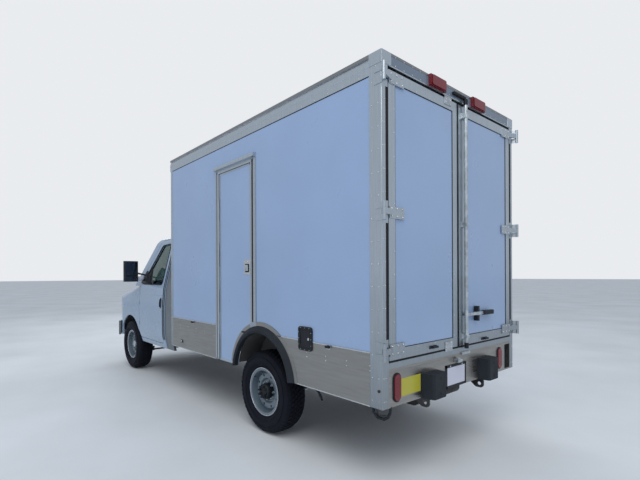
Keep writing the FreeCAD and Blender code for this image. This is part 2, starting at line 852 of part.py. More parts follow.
def wheel(y, out, hub_radius, hub_proud):
    """Steel wheel: rim well, recessed disc with studs and hub; out is +1 or -1."""
    half = rim_width / 2
    rim = [
        (rim_flange_radius, -half, 0.0), (rim_flange_radius, -half + 10.0, 0.0),
        (rim_radius, -half + 14.0, 0.0), (rim_radius, -half + 40.0, 0.0),
        (rim_well_radius + rim_thickness, -half + 62.0, 0.0), (rim_well_radius + rim_thickness, -10.0, 0.0),
        (rim_radius, 18.0, 0.0), (rim_radius, half - 14.0, 0.0), (rim_flange_radius, half - 10.0, 0.0),
        (rim_flange_radius, half, 0.0), (rim_radius - rim_thickness, half - 4.0, 0.0),
        (rim_radius - rim_thickness - 4.0, 22.0, 0.0), (rim_well_radius, -4.0, 0.0),
        (rim_well_radius, -half + 58.0, 0.0), (rim_radius - rim_thickness - 4.0, -half + 40.0, 0.0),
        (rim_radius - rim_thickness, -half + 4.0, 0.0),
    ]
    face = half - disc_recess
    disc = [
        (hub_bore_radius - 10.0, face - disc_bowl_depth - disc_thickness, 0.0),
        (hub_bore_radius - 10.0, face - disc_bowl_depth, 0.0),
        (disc_bowl_radius - 14.0, face - disc_bowl_depth, 6.0), (disc_bowl_radius, face, 6.0),
        (hand_hole_circle + 16.0, face, 8.0), (rim_radius - rim_thickness - 1.0, face - 34.0, 0.0),
        (rim_radius - rim_thickness - 1.0, face - 34.0 - disc_thickness, 0.0),
        (hand_hole_circle + 10.0, face - disc_thickness, 8.0),
        (disc_bowl_radius + 6.0, face - disc_thickness, 6.0),
        (disc_bowl_radius - 8.0, face - disc_bowl_depth - disc_thickness, 6.0),
    ]
    tip = hub_tip(hub_proud)
    bore = spindle_radius + bearing_clearance
    hub = [
        (bore, face - hub_inner_reach, 0.0), (hub_radius + 14.0, face - hub_inner_reach, 0.0),
        (hub_radius + 14.0, face - disc_bowl_depth - disc_thickness + 2.0, 0.0),
        (hub_radius, face - disc_bowl_depth, 0.0), (hub_radius, tip, 8.0), (0.0, tip, 0.0),
        (0.0, tip - hub_cap_thickness, 0.0), (bore, tip - hub_cap_thickness, 0.0),
    ]
    turn = [turned([(r, b * out, c) for r, b, c in ring], y) for ring in (rim, disc, hub)]
    whole = joined(turn)
    for i in range(hand_hole_count):
        angle = 2 * math.pi * (i + 0.5) / hand_hole_count
        x = hand_hole_circle * math.cos(angle)
        z = axle_height + hand_hole_circle * math.sin(angle)
        whole = whole.cut(rod(V(x, y - 200.0, z), V(x, y + 200.0, z), hand_hole_radius))
    studs = []
    for i in range(stud_count):
        angle = 2 * math.pi * i / stud_count
        x = stud_circle_radius * math.cos(angle)
        z = axle_height + stud_circle_radius * math.sin(angle)
        base = y + out * (face - disc_bowl_depth - 2.0)
        studs.append(rod(V(x, base, z), V(x, base + out * stud_length, z), stud_radius))
    return joined([whole] + studs)


def knuckle():
    """Steering knuckle: two lugs round the beam's eye, spindle and steering arm."""
    z = axle_height
    half = kingpin_boss_height / 2
    whole = half + knuckle_lug_height
    parts = [rod(V(0, kingpin_y, z - whole), V(0, kingpin_y, z + whole), kingpin_radius)]
    for side in (-1, 1):
        near = z + side * (half + kingpin_face_gap)
        far = z + side * whole
        low, high = min(near, far), max(near, far)
        parts.append(rod(V(0, kingpin_y, low), V(0, kingpin_y, high), 30.0))
        parts.append(block(-24.0, 24.0, kingpin_y, kingpin_y + 62.0, low, high))
    parts.append(block(-34.0, 34.0, kingpin_y + 42.0, kingpin_y + 66.0, z - whole, z + whole))
    parts.append(rod(V(0, kingpin_y + 60.0, z), V(0, front_track_half + spindle_tip(front_hub_proud), z),
                     spindle_radius))
    parts.append(rod(V(0, kingpin_y + 60.0, z), V(0, kingpin_y + 72.0, z), 120.0))
    arm_z = z - steering_arm_drop
    arm = prism(
        [(20.0, kingpin_y + 60.0, 8.0), (-40.0, kingpin_y + 60.0, 12.0),
         (-steering_arm - 22.0, kingpin_y - 8.0, 14.0), (-steering_arm - 22.0, kingpin_y - 52.0, 14.0),
         (-steering_arm + 20.0, kingpin_y - 52.0, 14.0), (0.0, kingpin_y - 26.0, 12.0)],
        "xy", arm_z, arm_z + 22.0)
    return joined(parts + [arm])


def tie_rod():
    y = kingpin_y - 30.0
    top = axle_height - steering_arm_drop - tie_rod_gap
    z = top - 24.0
    bar = rod(V(-steering_arm, -y, z), V(-steering_arm, y, z), tie_rod_radius)
    ends = [rod(V(-steering_arm, side * y, z - 18.0), V(-steering_arm, side * y, top), 20.0)
            for side in (-1, 1)]
    return joined([bar] + ends)


def front_beam(x0, x1):
    """One swinging beam: eye at the left wheel, pivot under the right-hand rail."""
    z = axle_height
    corners = [
        (kingpin_y, z - 42.0, 6.0), (kingpin_y, z + 42.0, 6.0), (560.0, z + 30.0, 40.0),
        (0.0, z + 62.0, 200.0), (-405.0, z + 66.0, 20.0), (-405.0, z + 6.0, 20.0), (0.0, z - 6.0, 200.0),
        (560.0, z - 34.0, 40.0),
    ]
    middle = (x0 + x1) / 2
    web = prism(corners, "yz", middle - 8.0, middle + 8.0)
    rim = prism(corners, "yz", x0, x1).cut(prism(corners, "yz", x0 - 5.0, x1 + 5.0, 14.0))
    half = kingpin_boss_height / 2
    eye = rod(V(0, kingpin_y, z - half), V(0, kingpin_y, z + half), kingpin_boss_radius)
    link = block(min(x0, -10.0), max(x1, 10.0), kingpin_y - 70.0, kingpin_y - 4.0, z - 40.0, z + 40.0)
    bore = rod(V(0, kingpin_y, z - 90.0), V(0, kingpin_y, z + 90.0), kingpin_radius + pin_clearance)
    pivot = block(middle - 15.0, middle + 15.0, -420.0, -385.0, z + 20.0, rail_top - rail_height)
    return joined([web, rim, eye, link, pivot]).cut(bore)


def front_spring():
    """Left coil spring with its seats, and the radius arm that runs back to the rail."""
    z = axle_height
    y = front_spring_y
    seat = block(-50.0, 50.0, y - 50.0, y + 50.0, z + 26.0, z + 50.0)
    coil = rod(V(0.0, y, z + 45.0), V(0.0, y, rail_top - 66.0), 46.0)
    hanger = block(-55.0, 55.0, rail_outer_y, y + 52.0, rail_top - 68.0, rail_top - 44.0)
    arm = rod(V(0.0, y, z + 6.0), V(-800.0, 405.0, z + 110.0), 19.0)
    anchor = block(-830.0, -780.0, 376.0, 432.0, z + 84.0, rail_top - rail_height)
    return [seat, coil, hanger, arm, anchor]


def front_axle():
    left = front_beam(4.0, 58.0)
    right = other_side(front_beam(-58.0, -4.0))
    springs = front_spring()
    return [joined([left] + springs), joined([right] + [other_side(s) for s in springs])]


def frame_rail():
    """Left channel with its cab mounts and the horn that carries the bumper."""
    t = rail_thickness
    channel = [
        (rail_outer_y - rail_flange, rail_top - rail_height), (rail_outer_y, rail_top - rail_height, 8.0),
        (rail_outer_y, rail_top, 8.0), (rail_outer_y - rail_flange, rail_top),
        (rail_outer_y - rail_flange, rail_top - t), (rail_outer_y - t, rail_top - t),
        (rail_outer_y - t, rail_top - rail_height + t),
        (rail_outer_y - rail_flange, rail_top - rail_height + t),
    ]
    parts = [prism(channel, "yz", rail_back_x, rail_front_x)]
    for offset in cab_mount_offsets:
        x = forward(offset)
        y = rail_outer_y - 32.0
        parts.append(rod(V(x, y, rail_top - 2.0), V(x, y, cab_floor_z), 30.0))
    horn = block(rail_front_x - 30.0, forward(900.0), rail_outer_y - rail_flange, rail_outer_y, 560.0, 670.0)
    parts.append(horn.common(prism(shift(cab_plan, front_x), "xy", 400.0, 800.0, -bumper_gap)))
    return joined(parts)


def crossmembers():
    """Members that lie between the webs, under the upper flanges."""
    reach = rail_outer_y - rail_thickness
    top = rail_top - rail_thickness
    return [block(x, x + crossmember_width, -reach, reach, top - crossmember_height, top)
            for x in crossmember_places]


def rear_axle():
    """Axle tube, differential, brake drums, spindles and the propeller shaft."""
    z = axle_height
    tip = rear_track_half + spindle_tip(rear_hub_proud)
    drum_end = rear_track_half + rim_width / 2 - disc_recess - hub_inner_reach - drum_gap
    tube = rod(V(0, -drum_end, z), V(0, drum_end, z), axle_tube_radius)
    spindle = rod(V(0, -tip, z), V(0, tip, z), spindle_radius)
    case = Part.makeSphere(150.0, V(0, 0, z))
    case = case.common(block(-200.0, 200.0, -110.0, 110.0, 0.0, 900.0))
    nose = Part.makeCone(95.0, 52.0, 170.0, V(110.0, 0, z + 6.0), V(1, 0, 0))
    drums = [rod(V(0, side * (drum_end - drum_width), z), V(0, side * drum_end, z), drum_radius)
             for side in (-1, 1)]
    pads = both_sides(block(-60.0, 60.0, rear_spring_y - 38.0, rear_spring_y + 38.0,
                            z, z + spring_pad_height))
    body = joined([tube, spindle, case, nose] + drums + pads)
    body.translate(V(rear_x, 0, 0))
    start = V(rear_x + 270.0, 0, z + 6.0)
    gearbox_end = forward(-gearbox_back)
    end = V(gearbox_end - 40.0, 0, gearbox_z)
    shaft = rod(start, end, 38.0)
    flange = rod(V(gearbox_end - 60.0, 0, gearbox_z), V(gearbox_end, 0, gearbox_z), 50.0)
    return joined([body, shaft, flange])


def rear_spring():
    """Leaf pack on the left axle pad, with its hangers on the rail."""
    y = rear_spring_y
    base = axle_height + spring_pad_height
    count = len(leaf_half_lengths)
    leaves = []
    for i, half in enumerate(leaf_half_lengths):
        low = base + (count - 1 - i) * leaf_thickness
        rise = leaf_camber * (half / leaf_half_lengths[0]) ** 2
        flat = half * 0.4
        leaves.append(prism(
            [(-half, low + rise), (-flat, low, 900.0), (flat, low, 900.0), (half, low + rise),
             (half, low + rise + leaf_thickness), (flat, low + leaf_thickness, 900.0),
             (-flat, low + leaf_thickness, 900.0), (-half, low + rise + leaf_thickness)],
            "xz", y - 32.0, y + 32.0))
    eye_z = base + (count - 1) * leaf_thickness + leaf_camber
    hangers = []
    for x in (-leaf_half_lengths[0], leaf_half_lengths[0]):
        hangers.append(prism(
            [(x - 34.0, eye_z - 22.0, 14.0), (x + 34.0, eye_z - 22.0, 14.0), (x + 34.0, rail_top - 30.0),
             (x - 34.0, rail_top - 30.0)],
            "xz", rail_outer_y, y + 36.0))
    pack = joined(leaves + hangers)
    pack.translate(V(rear_x, 0, 0))
    return pack


def engine_block():
    """Engine as one plain block on its two feet, with the gearbox behind it."""
    body = prism(
        [(forward(-engine_back), engine_bottom, 30.0), (forward(engine_front), engine_bottom, 40.0),
         (forward(engine_front), engine_top - 20.0, 60.0), (forward(-engine_back), engine_top, 60.0)],
        "xz", -engine_half_width, engine_half_width)
    feet = block(forward(-60.0), forward(40.0), -rail_outer_y + 10.0, rail_outer_y - 10.0, rail_top,
                 rail_top + 22.0)
    gearbox = Part.makeCone(150.0, 85.0, gearbox_back - engine_back + 20.0,
                            V(forward(-engine_back + 20.0), 0, gearbox_z), V(-1, 0, 0))
    gearbox = gearbox.common(block(forward(-gearbox_back), forward(-engine_back + 20.0), -200.0, 200.0, 400.0,
                                   cab_floor_z - 12.0))
    return joined([body, feet, gearbox])


def fuel_tank():
    """Tank behind the rear axle, hung under two crossmembers."""
    top = rail_top - rail_thickness - crossmember_height
    return prism(
        [(rear_x - tank_back, top - tank_height, 50.0), (rear_x - tank_front, top - tank_height, 50.0),
         (rear_x - tank_front, top, 30.0), (rear_x - tank_back, top, 30.0)],
        "xz", -tank_half_width, tank_half_width)


def pipe(points, radius, bend):
    """Round tube along straight runs joined by bends of one radius."""
    edges = []
    last = points[0]
    for i in range(1, len(points) - 1):
        came = (points[i] - points[i - 1]).normalize()
        goes = (points[i + 1] - points[i]).normalize()
        turn = came.getAngle(goes)
        reach = bend * math.tan(turn / 2)
        inward = (goes - came).normalize()
        middle = points[i] + inward * (bend / math.cos(turn / 2) - bend)
        edges.append(Part.LineSegment(last, points[i] - came * reach).toShape())
        edges.append(Part.Arc(points[i] - came * reach, middle, points[i] + goes * reach).toShape())
        last = points[i] + goes * reach
    edges.append(Part.LineSegment(last, points[-1]).toShape())
    path = Part.Wire(edges)
    ring = Part.Wire(Part.makeCircle(radius, points[0], points[1] - points[0]))
    return path.makePipeShell([ring], True, True)


def exhaust():
    """Front pipe, silencer and a tail pipe that ends ahead of the right rear wheel."""
    y = -exhaust_y
    muffler_front = rear_x + wheelbase * muffler_front_share
    muffler_back = rear_x + wheelbase * muffler_back_share
    z = exhaust_z
    muffler = rod(V(muffler_front, y, z), V(muffler_back, y, z), 75.0)
    front_pipe = pipe([V(forward(-420.0), -engine_half_width, 550.0), V(forward(-420.0), -338.0, 550.0),
                       V(forward(-900.0), -338.0, 490.0), V(muffler_front + 240.0, y, z),
                       V(muffler_front - 20.0, y, z)], 26.0, 60.0)
    tail = pipe([V(muffler_back + 20.0, y, z), V(rear_x + 760.0, y, z), V(rear_x + 640.0, -930.0, z - 20.0)],
                26.0, 80.0)
    hangers = [block(x, x + 30.0, y + 40.0, -rail_outer_y, z + 40.0, z + 70.0)
               for x in (muffler_back + 60.0, muffler_front - 90.0)]
    return joined([muffler, front_pipe, tail] + hangers)


def tow_eyes():
    """Rear recovery eyes bolted to the rail ends, and the loop under the left rear corner."""
    eyes = []
    for side in (1, -1):
        y0 = side * (rail_outer_y - tow_eye_plate) if side > 0 else -rail_outer_y
        y1 = y0 + tow_eye_plate
        x0 = rail_back_x - 50.0
        plate = prism(
            [(x0, tow_eye_z - 34.0, 30.0), (x0 + 70.0, tow_eye_z - 34.0, 30.0),
             (x0 + 150.0, rail_top - rail_height), (x0 + 52.0, rail_top - rail_height),
             (x0, tow_eye_z + 34.0, 10.0)],
            "xz", y0, y1)
        hole = rod(V(tow_eye_x(), y0 - 5.0, tow_eye_z), V(tow_eye_x(), y1 + 5.0, tow_eye_z), tow_eye_radius)
        eyes.append(plate.cut(hole))
    x = box_back + 40.0
    y = box_side - 60.0
    low = skirt_bottom - 62.0
    loop = pipe([V(x + 30.0, y + 28.0, skirt_bottom), V(x + 30.0, y + 28.0, low),
                 V(x - 30.0, y - 28.0, low), V(x - 30.0, y - 28.0, skirt_bottom)], 7.0, 30.0)
    return eyes, loop


def tow_eye_x():
    return rail_back_x - 12.0


def cross_rod(x, z, y0, y1, radius):
    """Cylinder that lies across the vehicle."""
    return rod(V(x, y0, z), V(x, y1, z), radius)


def rear_arch_opening():
    """Room of the left rear arch through the side of the body and below it."""
    y0 = box_side - 200.0
    arch = cross_rod(arch_x, arch_centre_z, y0, wide, arch_radius)
    return [arch, block(arch_x - arch_radius, arch_x + arch_radius, y0, wide, 400.0, arch_centre_z)]


def door_step_room():
    """Room for the side door's leaf in the edge of the floor."""
    return block(rear_x + side_frame_back + 20.0, rear_x + side_frame_front - 20.0,
                 box_side - side_leaf_thickness - 10.0, box_side, 600.0, floor_top + 1.0)


def box_floor():
    deck = block(box_back + header_depth, box_front - wall, -box_side + wall, box_side - wall,
                 floor_top - deck_thickness, floor_top)
    deck = deck.cut(door_step_room())
    well = cross_rod(arch_x, arch_centre_z, wheelhouse_inner_y, box_side - 45.0,
                     arch_radius + wheelhouse_sheet)
    above = block(arch_x - 600.0, arch_x + 600.0, 600.0, 1100.0, skirt_bottom + 20.0, 1200.0)
    well = well.common(above)
    deck = joined([deck] + both_sides(well))
    for hollow in both_sides(wheel_room()):
        deck = deck.cut(hollow)
    return deck


def wheel_room():
    """Room inside the left wheelhouse, down past its lower edge."""
    inner = wheelhouse_inner_y + wheelhouse_sheet
    room = cross_rod(arch_x, arch_centre_z, inner, box_side + 10.0, arch_radius)
    below = block(arch_x - arch_radius, arch_x + arch_radius, inner, box_side + 10.0, 300.0, arch_centre_z)
    return room.fuse(below)


def wheelhouse_outside():
    """The left wheelhouse with the room in it, as one body to cut the sills with."""
    return cross_rod(arch_x, arch_centre_z, wheelhouse_inner_y, box_side + 10.0,
                     arch_radius + wheelhouse_sheet)


def floor_sills():
    """Cross sills under the deck on two long sills that lie on the rails."""
    sill_low = floor_top - deck_thickness - deck_sill_height
    parts = []
    count = int((box_length - 200.0) // deck_sill_pitch) + 1
    for i in range(count):
        x = box_back + 90.0 + i * deck_sill_pitch
        parts.append(block(x, x + deck_sill_width, -box_side + 60.0, box_side - 60.0, sill_low,
                           floor_top - deck_thickness))
    long_sill = block(rail_back_x, box_front - 40.0, rail_outer_y - long_sill_width, rail_outer_y,
                      rail_top, sill_low)
    sills = joined(parts + both_sides(long_sill))
    for house in both_sides(wheelhouse_outside()):
        sills = sills.cut(house)
    return sills.cut(door_step_room())


def side_panel():
    """Composite side wall, cut for the wheel."""
    panel = block(box_back + rear_post_depth, box_front - front_post_width, box_side - wall, box_side,
                  side_sheet_bottom, box_top - rail_depth)
    return panel.cut(rear_arch_opening())


def side_doorway():
    """Room in the left wall for the door frame."""
    return block(rear_x + side_frame_back, rear_x + side_frame_front, box_side - 100.0,
                 box_side + 100.0, 500.0, side_frame_top)


def box_front_wall():
    return block(box_front - wall, box_front, -box_side + front_post_width, box_side - front_post_width,
                 side_sheet_bottom, box_top - rail_depth)


def box_roof():
    inner = box_side - top_rail_flange
    return block(box_back + header_depth + 30.0, box_front - top_rail_flange, -inner, inner,
                 box_top - roof_thickness - 4.0, box_top - 4.0)


def top_rail_section(offset):
    """Section of the roof rail; offset is the outer wall plane."""
    out = offset + rail_proud
    low = box_top - rail_depth
    cap = box_top - rail_cap_height
    return [
        (offset - wall, low), (out - 3.0, low), (out - 3.0, cap), (out, cap + 3.0),
        (out - rail_cap_lean, box_top, 12.0), (offset - top_rail_flange, box_top),
        (offset - top_rail_flange, box_top - roof_thickness - 4.0),
        (offset - wall, box_top - roof_thickness - 20.0),
    ]


def box_frame():
    """Aluminium frame: roof rails, corner posts, rear portal and side door frame."""
    side_rail = prism(top_rail_section(box_side), "yz", box_back, box_front)
    front_rail = prism([(box_front - box_side + a, b, *c) for a, b, *c in top_rail_section(box_side)],
                       "xz", -box_side + 10.0, box_side - 10.0)
    out = box_side + 3.0
    front_post = prism(
        [(box_front - front_post_width, box_side - wall), (box_front - front_post_width, out),
         (box_front, out, 22.0), (box_front, box_side - front_post_width),
         (box_front - wall, box_side - front_post_width), (box_front - wall, box_side - wall)],
        "xy", skirt_bottom, box_top - rail_depth)
    rear_post = prism(
        [(box_back + rear_post_depth, box_side - wall), (box_back + rear_post_depth, out),
         (box_back, out, 8.0), (box_back, box_side - rear_post_width),
         (box_back + header_depth, box_side - rear_post_width), (box_back + header_depth, box_side - wall)],
        "xy", skirt_bottom, box_top - rail_depth)
    header = prism(
        [(box_back, box_top - header_height), (box_back, box_top, 10.0),
         (box_back + header_depth + 30.0, box_top), (box_back + header_depth + 30.0, box_top - 34.0),
         (box_back + header_depth, box_top - 34.0), (box_back + header_depth, box_top - header_height)],
        "xz", -box_side - 3.0, box_side + 3.0)
    sill = block(box_back, box_back + header_depth, -box_side + 20.0, box_side - 20.0,
                 floor_top - deck_thickness, floor_top)
    parts = both_sides(side_rail) + [front_rail] + both_sides(front_post) + both_sides(rear_post)
    post_tops = both_sides(block(box_back, box_back + header_depth, box_side - rear_post_width, out - 1.0,
                                 box_top - rail_depth - 1.0, box_top - header_height + 1.0))
    pins = rear_hinges()[1]
    frame = joined(parts + post_tops + [header, sill] + pins + [other_side(pin) for pin in pins])
    return [frame, side_door_frame()]


def side_door_frame():
    back = rear_x + side_frame_back
    front = rear_x + side_frame_front
    leaf_back = rear_x + side_leaf_back
    leaf_front = rear_x + side_leaf_front
    out = box_side + jamb_proud
    inner = box_side - wall
    whole = block(back, front, inner, out, skirt_bottom + 5.0, side_frame_top)
    clear = block(leaf_back - side_gap, leaf_front + side_gap, inner - 10.0, out + 10.0,
                  skirt_bottom - 10.0, side_leaf_top + side_gap)
    frame = whole.cut(clear)
    frame = frame.cut(rear_arch_opening())
    frame = frame.cut(cross_rod(arch_x, arch_centre_z, box_side + skirt_sheet, out + 10.0,
                                flare_outer_radius + 1.0))
    cap_low = side_frame_top - drip_cap_height
    cap = prism(
        [(out - 4.0, cap_low), (out + drip_cap_out, cap_low + 8.0),
         (out + drip_cap_out, side_frame_top - 6.0), (out - 4.0, side_frame_top)],
        "yz", back, front)
    knuckles, low, count = side_door_knuckles(0)
    x = side_door_pin_x()
    y = side_door_pin_y()
    pin = rod(V(x, y, low), V(x, y, low + count * side_knuckle_length - side_knuckle_gap), side_pin_radius)
    return joined([frame, cap, pin] + knuckles)


def side_door_pin_x():
    return rear_x + side_leaf_front + side_gap / 2


def side_door_pin_y():
    return box_side + side_pin_out


def side_door_knuckles(first):
    """Every second knuckle of the piano hinge, from the bottom up."""
    x = side_door_pin_x()
    y = side_door_pin_y()
    low = side_leaf_bottom + 20.0
    pieces = []
    count = int((side_leaf_top - 20.0 - low) // side_knuckle_length)
    for i in range(count):
        if i % 2 != first:
            continue
        z0 = low + i * side_knuckle_length
        z1 = z0 + side_knuckle_length - side_knuckle_gap
        barrel = rod(V(x, y, z0), V(x, y, z1), side_barrel_radius)
        side = -1 if first else 1
        base = box_side if first else box_side + jamb_proud
        ends = sorted([x + side * 3.0, x + side * side_hinge_leaf])
        leaf = block(ends[0], ends[1], base, base + side_hinge_sheet, z0, z1)
        ends = sorted([x, x + side * side_barrel_radius])
        web = block(ends[0], ends[1], base, y, z0, z1)
        pieces.append(joined([barrel, leaf, web]))
    return pieces, low, count


def side_door():
    back = rear_x + side_leaf_back
    front = rear_x + side_leaf_front
    leaf = block(back, front, box_side - side_leaf_thickness, box_side, side_leaf_bottom, side_leaf_top)
    leaf = leaf.cut(rear_arch_opening())
    knuckles, low, count = side_door_knuckles(1)
    x = side_door_pin_x()
    y = side_door_pin_y()
    leaf = joined([leaf] + knuckles)
    bore = rod(V(x, y, low - 40.0), V(x, y, side_leaf_top + 40.0), side_pin_radius + pin_clearance)
    return leaf.cut(bore)


def flare_ring():
    """Rubber flare turned about the arch's centre."""
    y = box_side
    corners = [
        (flare_inner_radius, y - 12.0), (flare_inner_radius, y + flare_proud - 10.0, 8.0),
        (flare_inner_radius + 22.0, y + flare_proud, 14.0), (flare_outer_radius - 6.0, y + 14.0, 20.0),
        (flare_outer_radius, y + skirt_sheet), (arch_radius - 0.3, y + skirt_sheet),
        (arch_radius - 0.3, y - 12.0),
    ]
    wire = outline(corners, lambda p: V(arch_x, p.y, arch_centre_z + p.x))
    ring = Part.Face(wire).revolve(V(arch_x, y, arch_centre_z), V(0, 1, 0), 360)
    return ring.common(block(arch_x - 600.0, arch_x + 600.0, 900.0, 1100.0, skirt_bottom, 1200.0))


def arch_trim():
    """Sheet ring round the left flare, with a raised border outside the flare."""
    y0 = box_side
    y1 = box_side + skirt_sheet
    y2 = y1 + arch_trim_proud
    base = cross_rod(arch_x, arch_centre_z, y0, y1, arch_trim_radius)
    border = cross_rod(arch_x, arch_centre_z, y1, y2, arch_trim_radius)
    border = border.cut(cross_rod(arch_x, arch_centre_z, y1, y2, flare_outer_radius + 1.0))
    reach = arch_trim_radius + 10.0
    room = block(arch_x - reach, arch_x + reach, y0, y2, skirt_bottom, arch_centre_z + reach)
    return base.fuse(border).common(room)


def lower_skirts():
    y0 = box_side
    y1 = box_side + skirt_sheet
    plate = block(box_back + rear_post_depth, box_front - front_post_width, y0, y1, skirt_bottom, skirt_top)
    lip = block(box_back + rear_post_depth, box_front - front_post_width, y0 - skirt_lip, y1, skirt_bottom,
                skirt_bottom + skirt_sheet)
    skirt = joined([plate, lip, arch_trim()]).cut(rear_arch_opening())
    right = other_side(skirt)
    doorway = block(rear_x + side_frame_back, rear_x + side_frame_front, y0 - 200.0, y1 + 50.0, 400.0, 1100.0)
    left = joined([skirt.cut(fuel_filler_prism(y0 - 50.0, y1 + 50.0))])
    return [left.cut(doorway), right]


def fascia_pocket():
    """Recess at the right-hand end of the fascia: its walls and the room inside them."""
    sheet = skirt_sheet
    walls = block(box_back, box_back + pocket_depth + sheet, pocket_outer_y - sheet, pocket_inner_y + sheet,
                  pocket_bottom - sheet, pocket_top + sheet)
    room = block(box_back - 1.0, box_back + pocket_depth, pocket_outer_y, pocket_inner_y,
                 pocket_bottom, pocket_top)
    return walls, room


def rear_fascia():
    inner = box_side - rear_post_width
    plate = block(box_back, box_back + skirt_sheet, -inner, inner, skirt_bottom, floor_top - deck_thickness)
    shelf = block(box_back, rail_back_x - 4.0, -inner, inner, skirt_bottom, skirt_bottom + skirt_sheet)
    pocket, room = fascia_pocket()
    fascia = joined([plate, shelf, pocket]).cut(room)
    seam = block(box_back - 1.0, box_back + seam_depth, seam_inner_y, inner, seam_z, seam_z + seam_width)
    fascia = fascia.cut(seam)
    for side in (-1, 1):
        y = plate_y + side * plate_hole_spacing / 2
        fascia = fascia.cut(rod(V(box_back - 5.0, y, plate_hole_z), V(box_back + 10.0, y, plate_hole_z),
                                plate_hole_radius))
    return fascia


def rear_door(y0, y1, stile_low, stile_high):
    """Panel and surrounding extrusion of one rear door between its two edges."""
    x0 = box_back
    x1 = box_back + rear_door_thickness
    z0 = rear_door_bottom
    z1 = rear_door_top
    whole = block(x0, x1, y0, y1, z0, z1)
    room = block(x0 - 1.0, x1 + 1.0, y0 + stile_low, y1 - stile_high, z0 + rear_door_rail,
                 z1 - rear_door_rail)
    panel = room.common(block(x0 + rear_door_panel_inset, x1 - rear_door_panel_inset, y0, y1, z0, z1))
    return panel, whole.cut(room)


def rear_door_left_parts():
    edge = box_side - rear_post_width - door_gap
    return rear_door(rear_door_meeting_y + rear_door_meeting_gap / 2, edge, meeting_stile_left, stile_width)


def rear_door_right_parts():
    edge = box_side - rear_post_width - door_gap
    return rear_door(-edge, rear_door_meeting_y - rear_door_meeting_gap / 2, stile_width, meeting_stile_right)


def rear_hinges():
    """For the left door: the straps that ride on it and the pins on the post."""
    pin_x = box_back - hinge_pin_back
    pin_y = box_side + hinge_pin_out
    straps = []
    pins = []
    half = hinge_barrel_length / 2
    third = hinge_barrel_length / 6
    for z in hinge_heights:
        edge = box_side - rear_post_width - door_gap
        plate = block(box_back - hinge_strap_thickness, box_back, edge - hinge_strap_length, edge - 2.0,
                      z - hinge_strap_height / 2, z + hinge_strap_height / 2)
        arm = prism(
            [(box_back - hinge_strap_thickness, edge - 30.0), (box_back, edge - 30.0),
             (box_back, edge - 2.0, 2.0), (pin_x + 4.0, pin_y + 2.0, 3.0), (pin_x - 6.0, pin_y - 4.0, 3.0),
             (box_back - hinge_strap_thickness - 9.0, edge - 12.0, 3.0)],
            "xy", z - third, z + third)
        barrel = rod(V(pin_x, pin_y, z - third), V(pin_x, pin_y, z + third), hinge_barrel_radius)
        bore = rod(V(pin_x, pin_y, z - half), V(pin_x, pin_y, z + half), hinge_pin_radius + pin_clearance)
        straps.append(joined([plate, arm, barrel]).cut(bore))
        bracket_parts = [rod(V(pin_x, pin_y, z - half), V(pin_x, pin_y, z + half), hinge_pin_radius)]
        for low, high in ((z - half, z - third - 0.5), (z + third + 0.5, z + half)):
            bracket_parts.append(rod(V(pin_x, pin_y, low), V(pin_x, pin_y, high), hinge_barrel_radius))
            bracket_parts.append(prism(
                [(box_back + 60.0, box_side + 2.0), (box_back + 60.0, box_side + 8.0),
                 (box_back - 6.0, box_side + 8.0, 4.0), (pin_x + 2.0, pin_y + 6.0, 3.0),
                 (pin_x - 4.0, pin_y - 6.0, 3.0), (box_back - 2.0, box_side + 2.0)],
                "xy", low, high))
        pins.append(joined(bracket_parts))
    return straps, pins


def lock_rod():
    """Rod, cams and handle on the right-hand rear door."""
    x = box_back - lock_rod_out
    z0 = rear_door_bottom - 22.0
    z1 = box_top - header_height + 26.0
    bar = rod(V(x, lock_rod_y, z0), V(x, lock_rod_y, z1), lock_rod_radius)
    guides = [block(box_back - 30.0, box_back + 0.0, lock_rod_y - 24.0, lock_rod_y + 24.0, z - 20.0, z + 20.0)
              for z in lock_guide_heights]
    handle = block(x - 8.0, x + 8.0, lock_rod_y - lock_handle_reach - 100.0, lock_rod_y,
                   lock_handle_z - 12.0, lock_handle_z + 12.0)
    keeper = block(box_back - 32.0, box_back, lock_rod_y - lock_keeper_reach - 12.0,
                   lock_rod_y - lock_keeper_reach + 12.0, lock_handle_z - 60.0, lock_handle_z + 60.0)
    return joined([bar, handle, keeper] + guides)


def surround_band():
    """Band between the cab's open back and the box, set in a little from the cab's skin."""
    ring = prism(cab_section, "yz", box_front, cab_back, surround_inset)
    core = prism(cab_section, "yz", box_front - 1.0, cab_back + 1.0, surround_inset + surround_sheet)
    band = ring.cut(core)
    return band.common(block(box_front, cab_back, -1100.0, 1100.0, cab_bottom, 2300.0))


def rear_lamps():
    """Two oval tail lamps on the fascia and two marker lamps on the header."""
    half_w = tail_lamp_width / 2
    low = tail_lamp_z - tail_lamp_height / 2
    high = tail_lamp_z + tail_lamp_height / 2
    lamps = []
    for y in tail_lamp_ys:
        ends = ((-1, low), (1, low), (1, high), (-1, high))
        oval = [(y + side * half_w, z, half_w - 1.0) for side, z in ends]
        lamps.append(prism(oval, "yz", box_back - tail_lamp_proud, box_back))
    for y in clearance_lamp_ys:
        left = y + clearance_lamp_half_width
        right = y - clearance_lamp_half_width
        lamps.append(prism(
            [(right, clearance_lamp_bottom, 12.0), (left, clearance_lamp_bottom, 12.0),
             (left, clearance_lamp_top, 12.0), (right, clearance_lamp_top, 12.0)],
            "yz", box_back - clearance_lamp_proud, box_back))
    return lamps


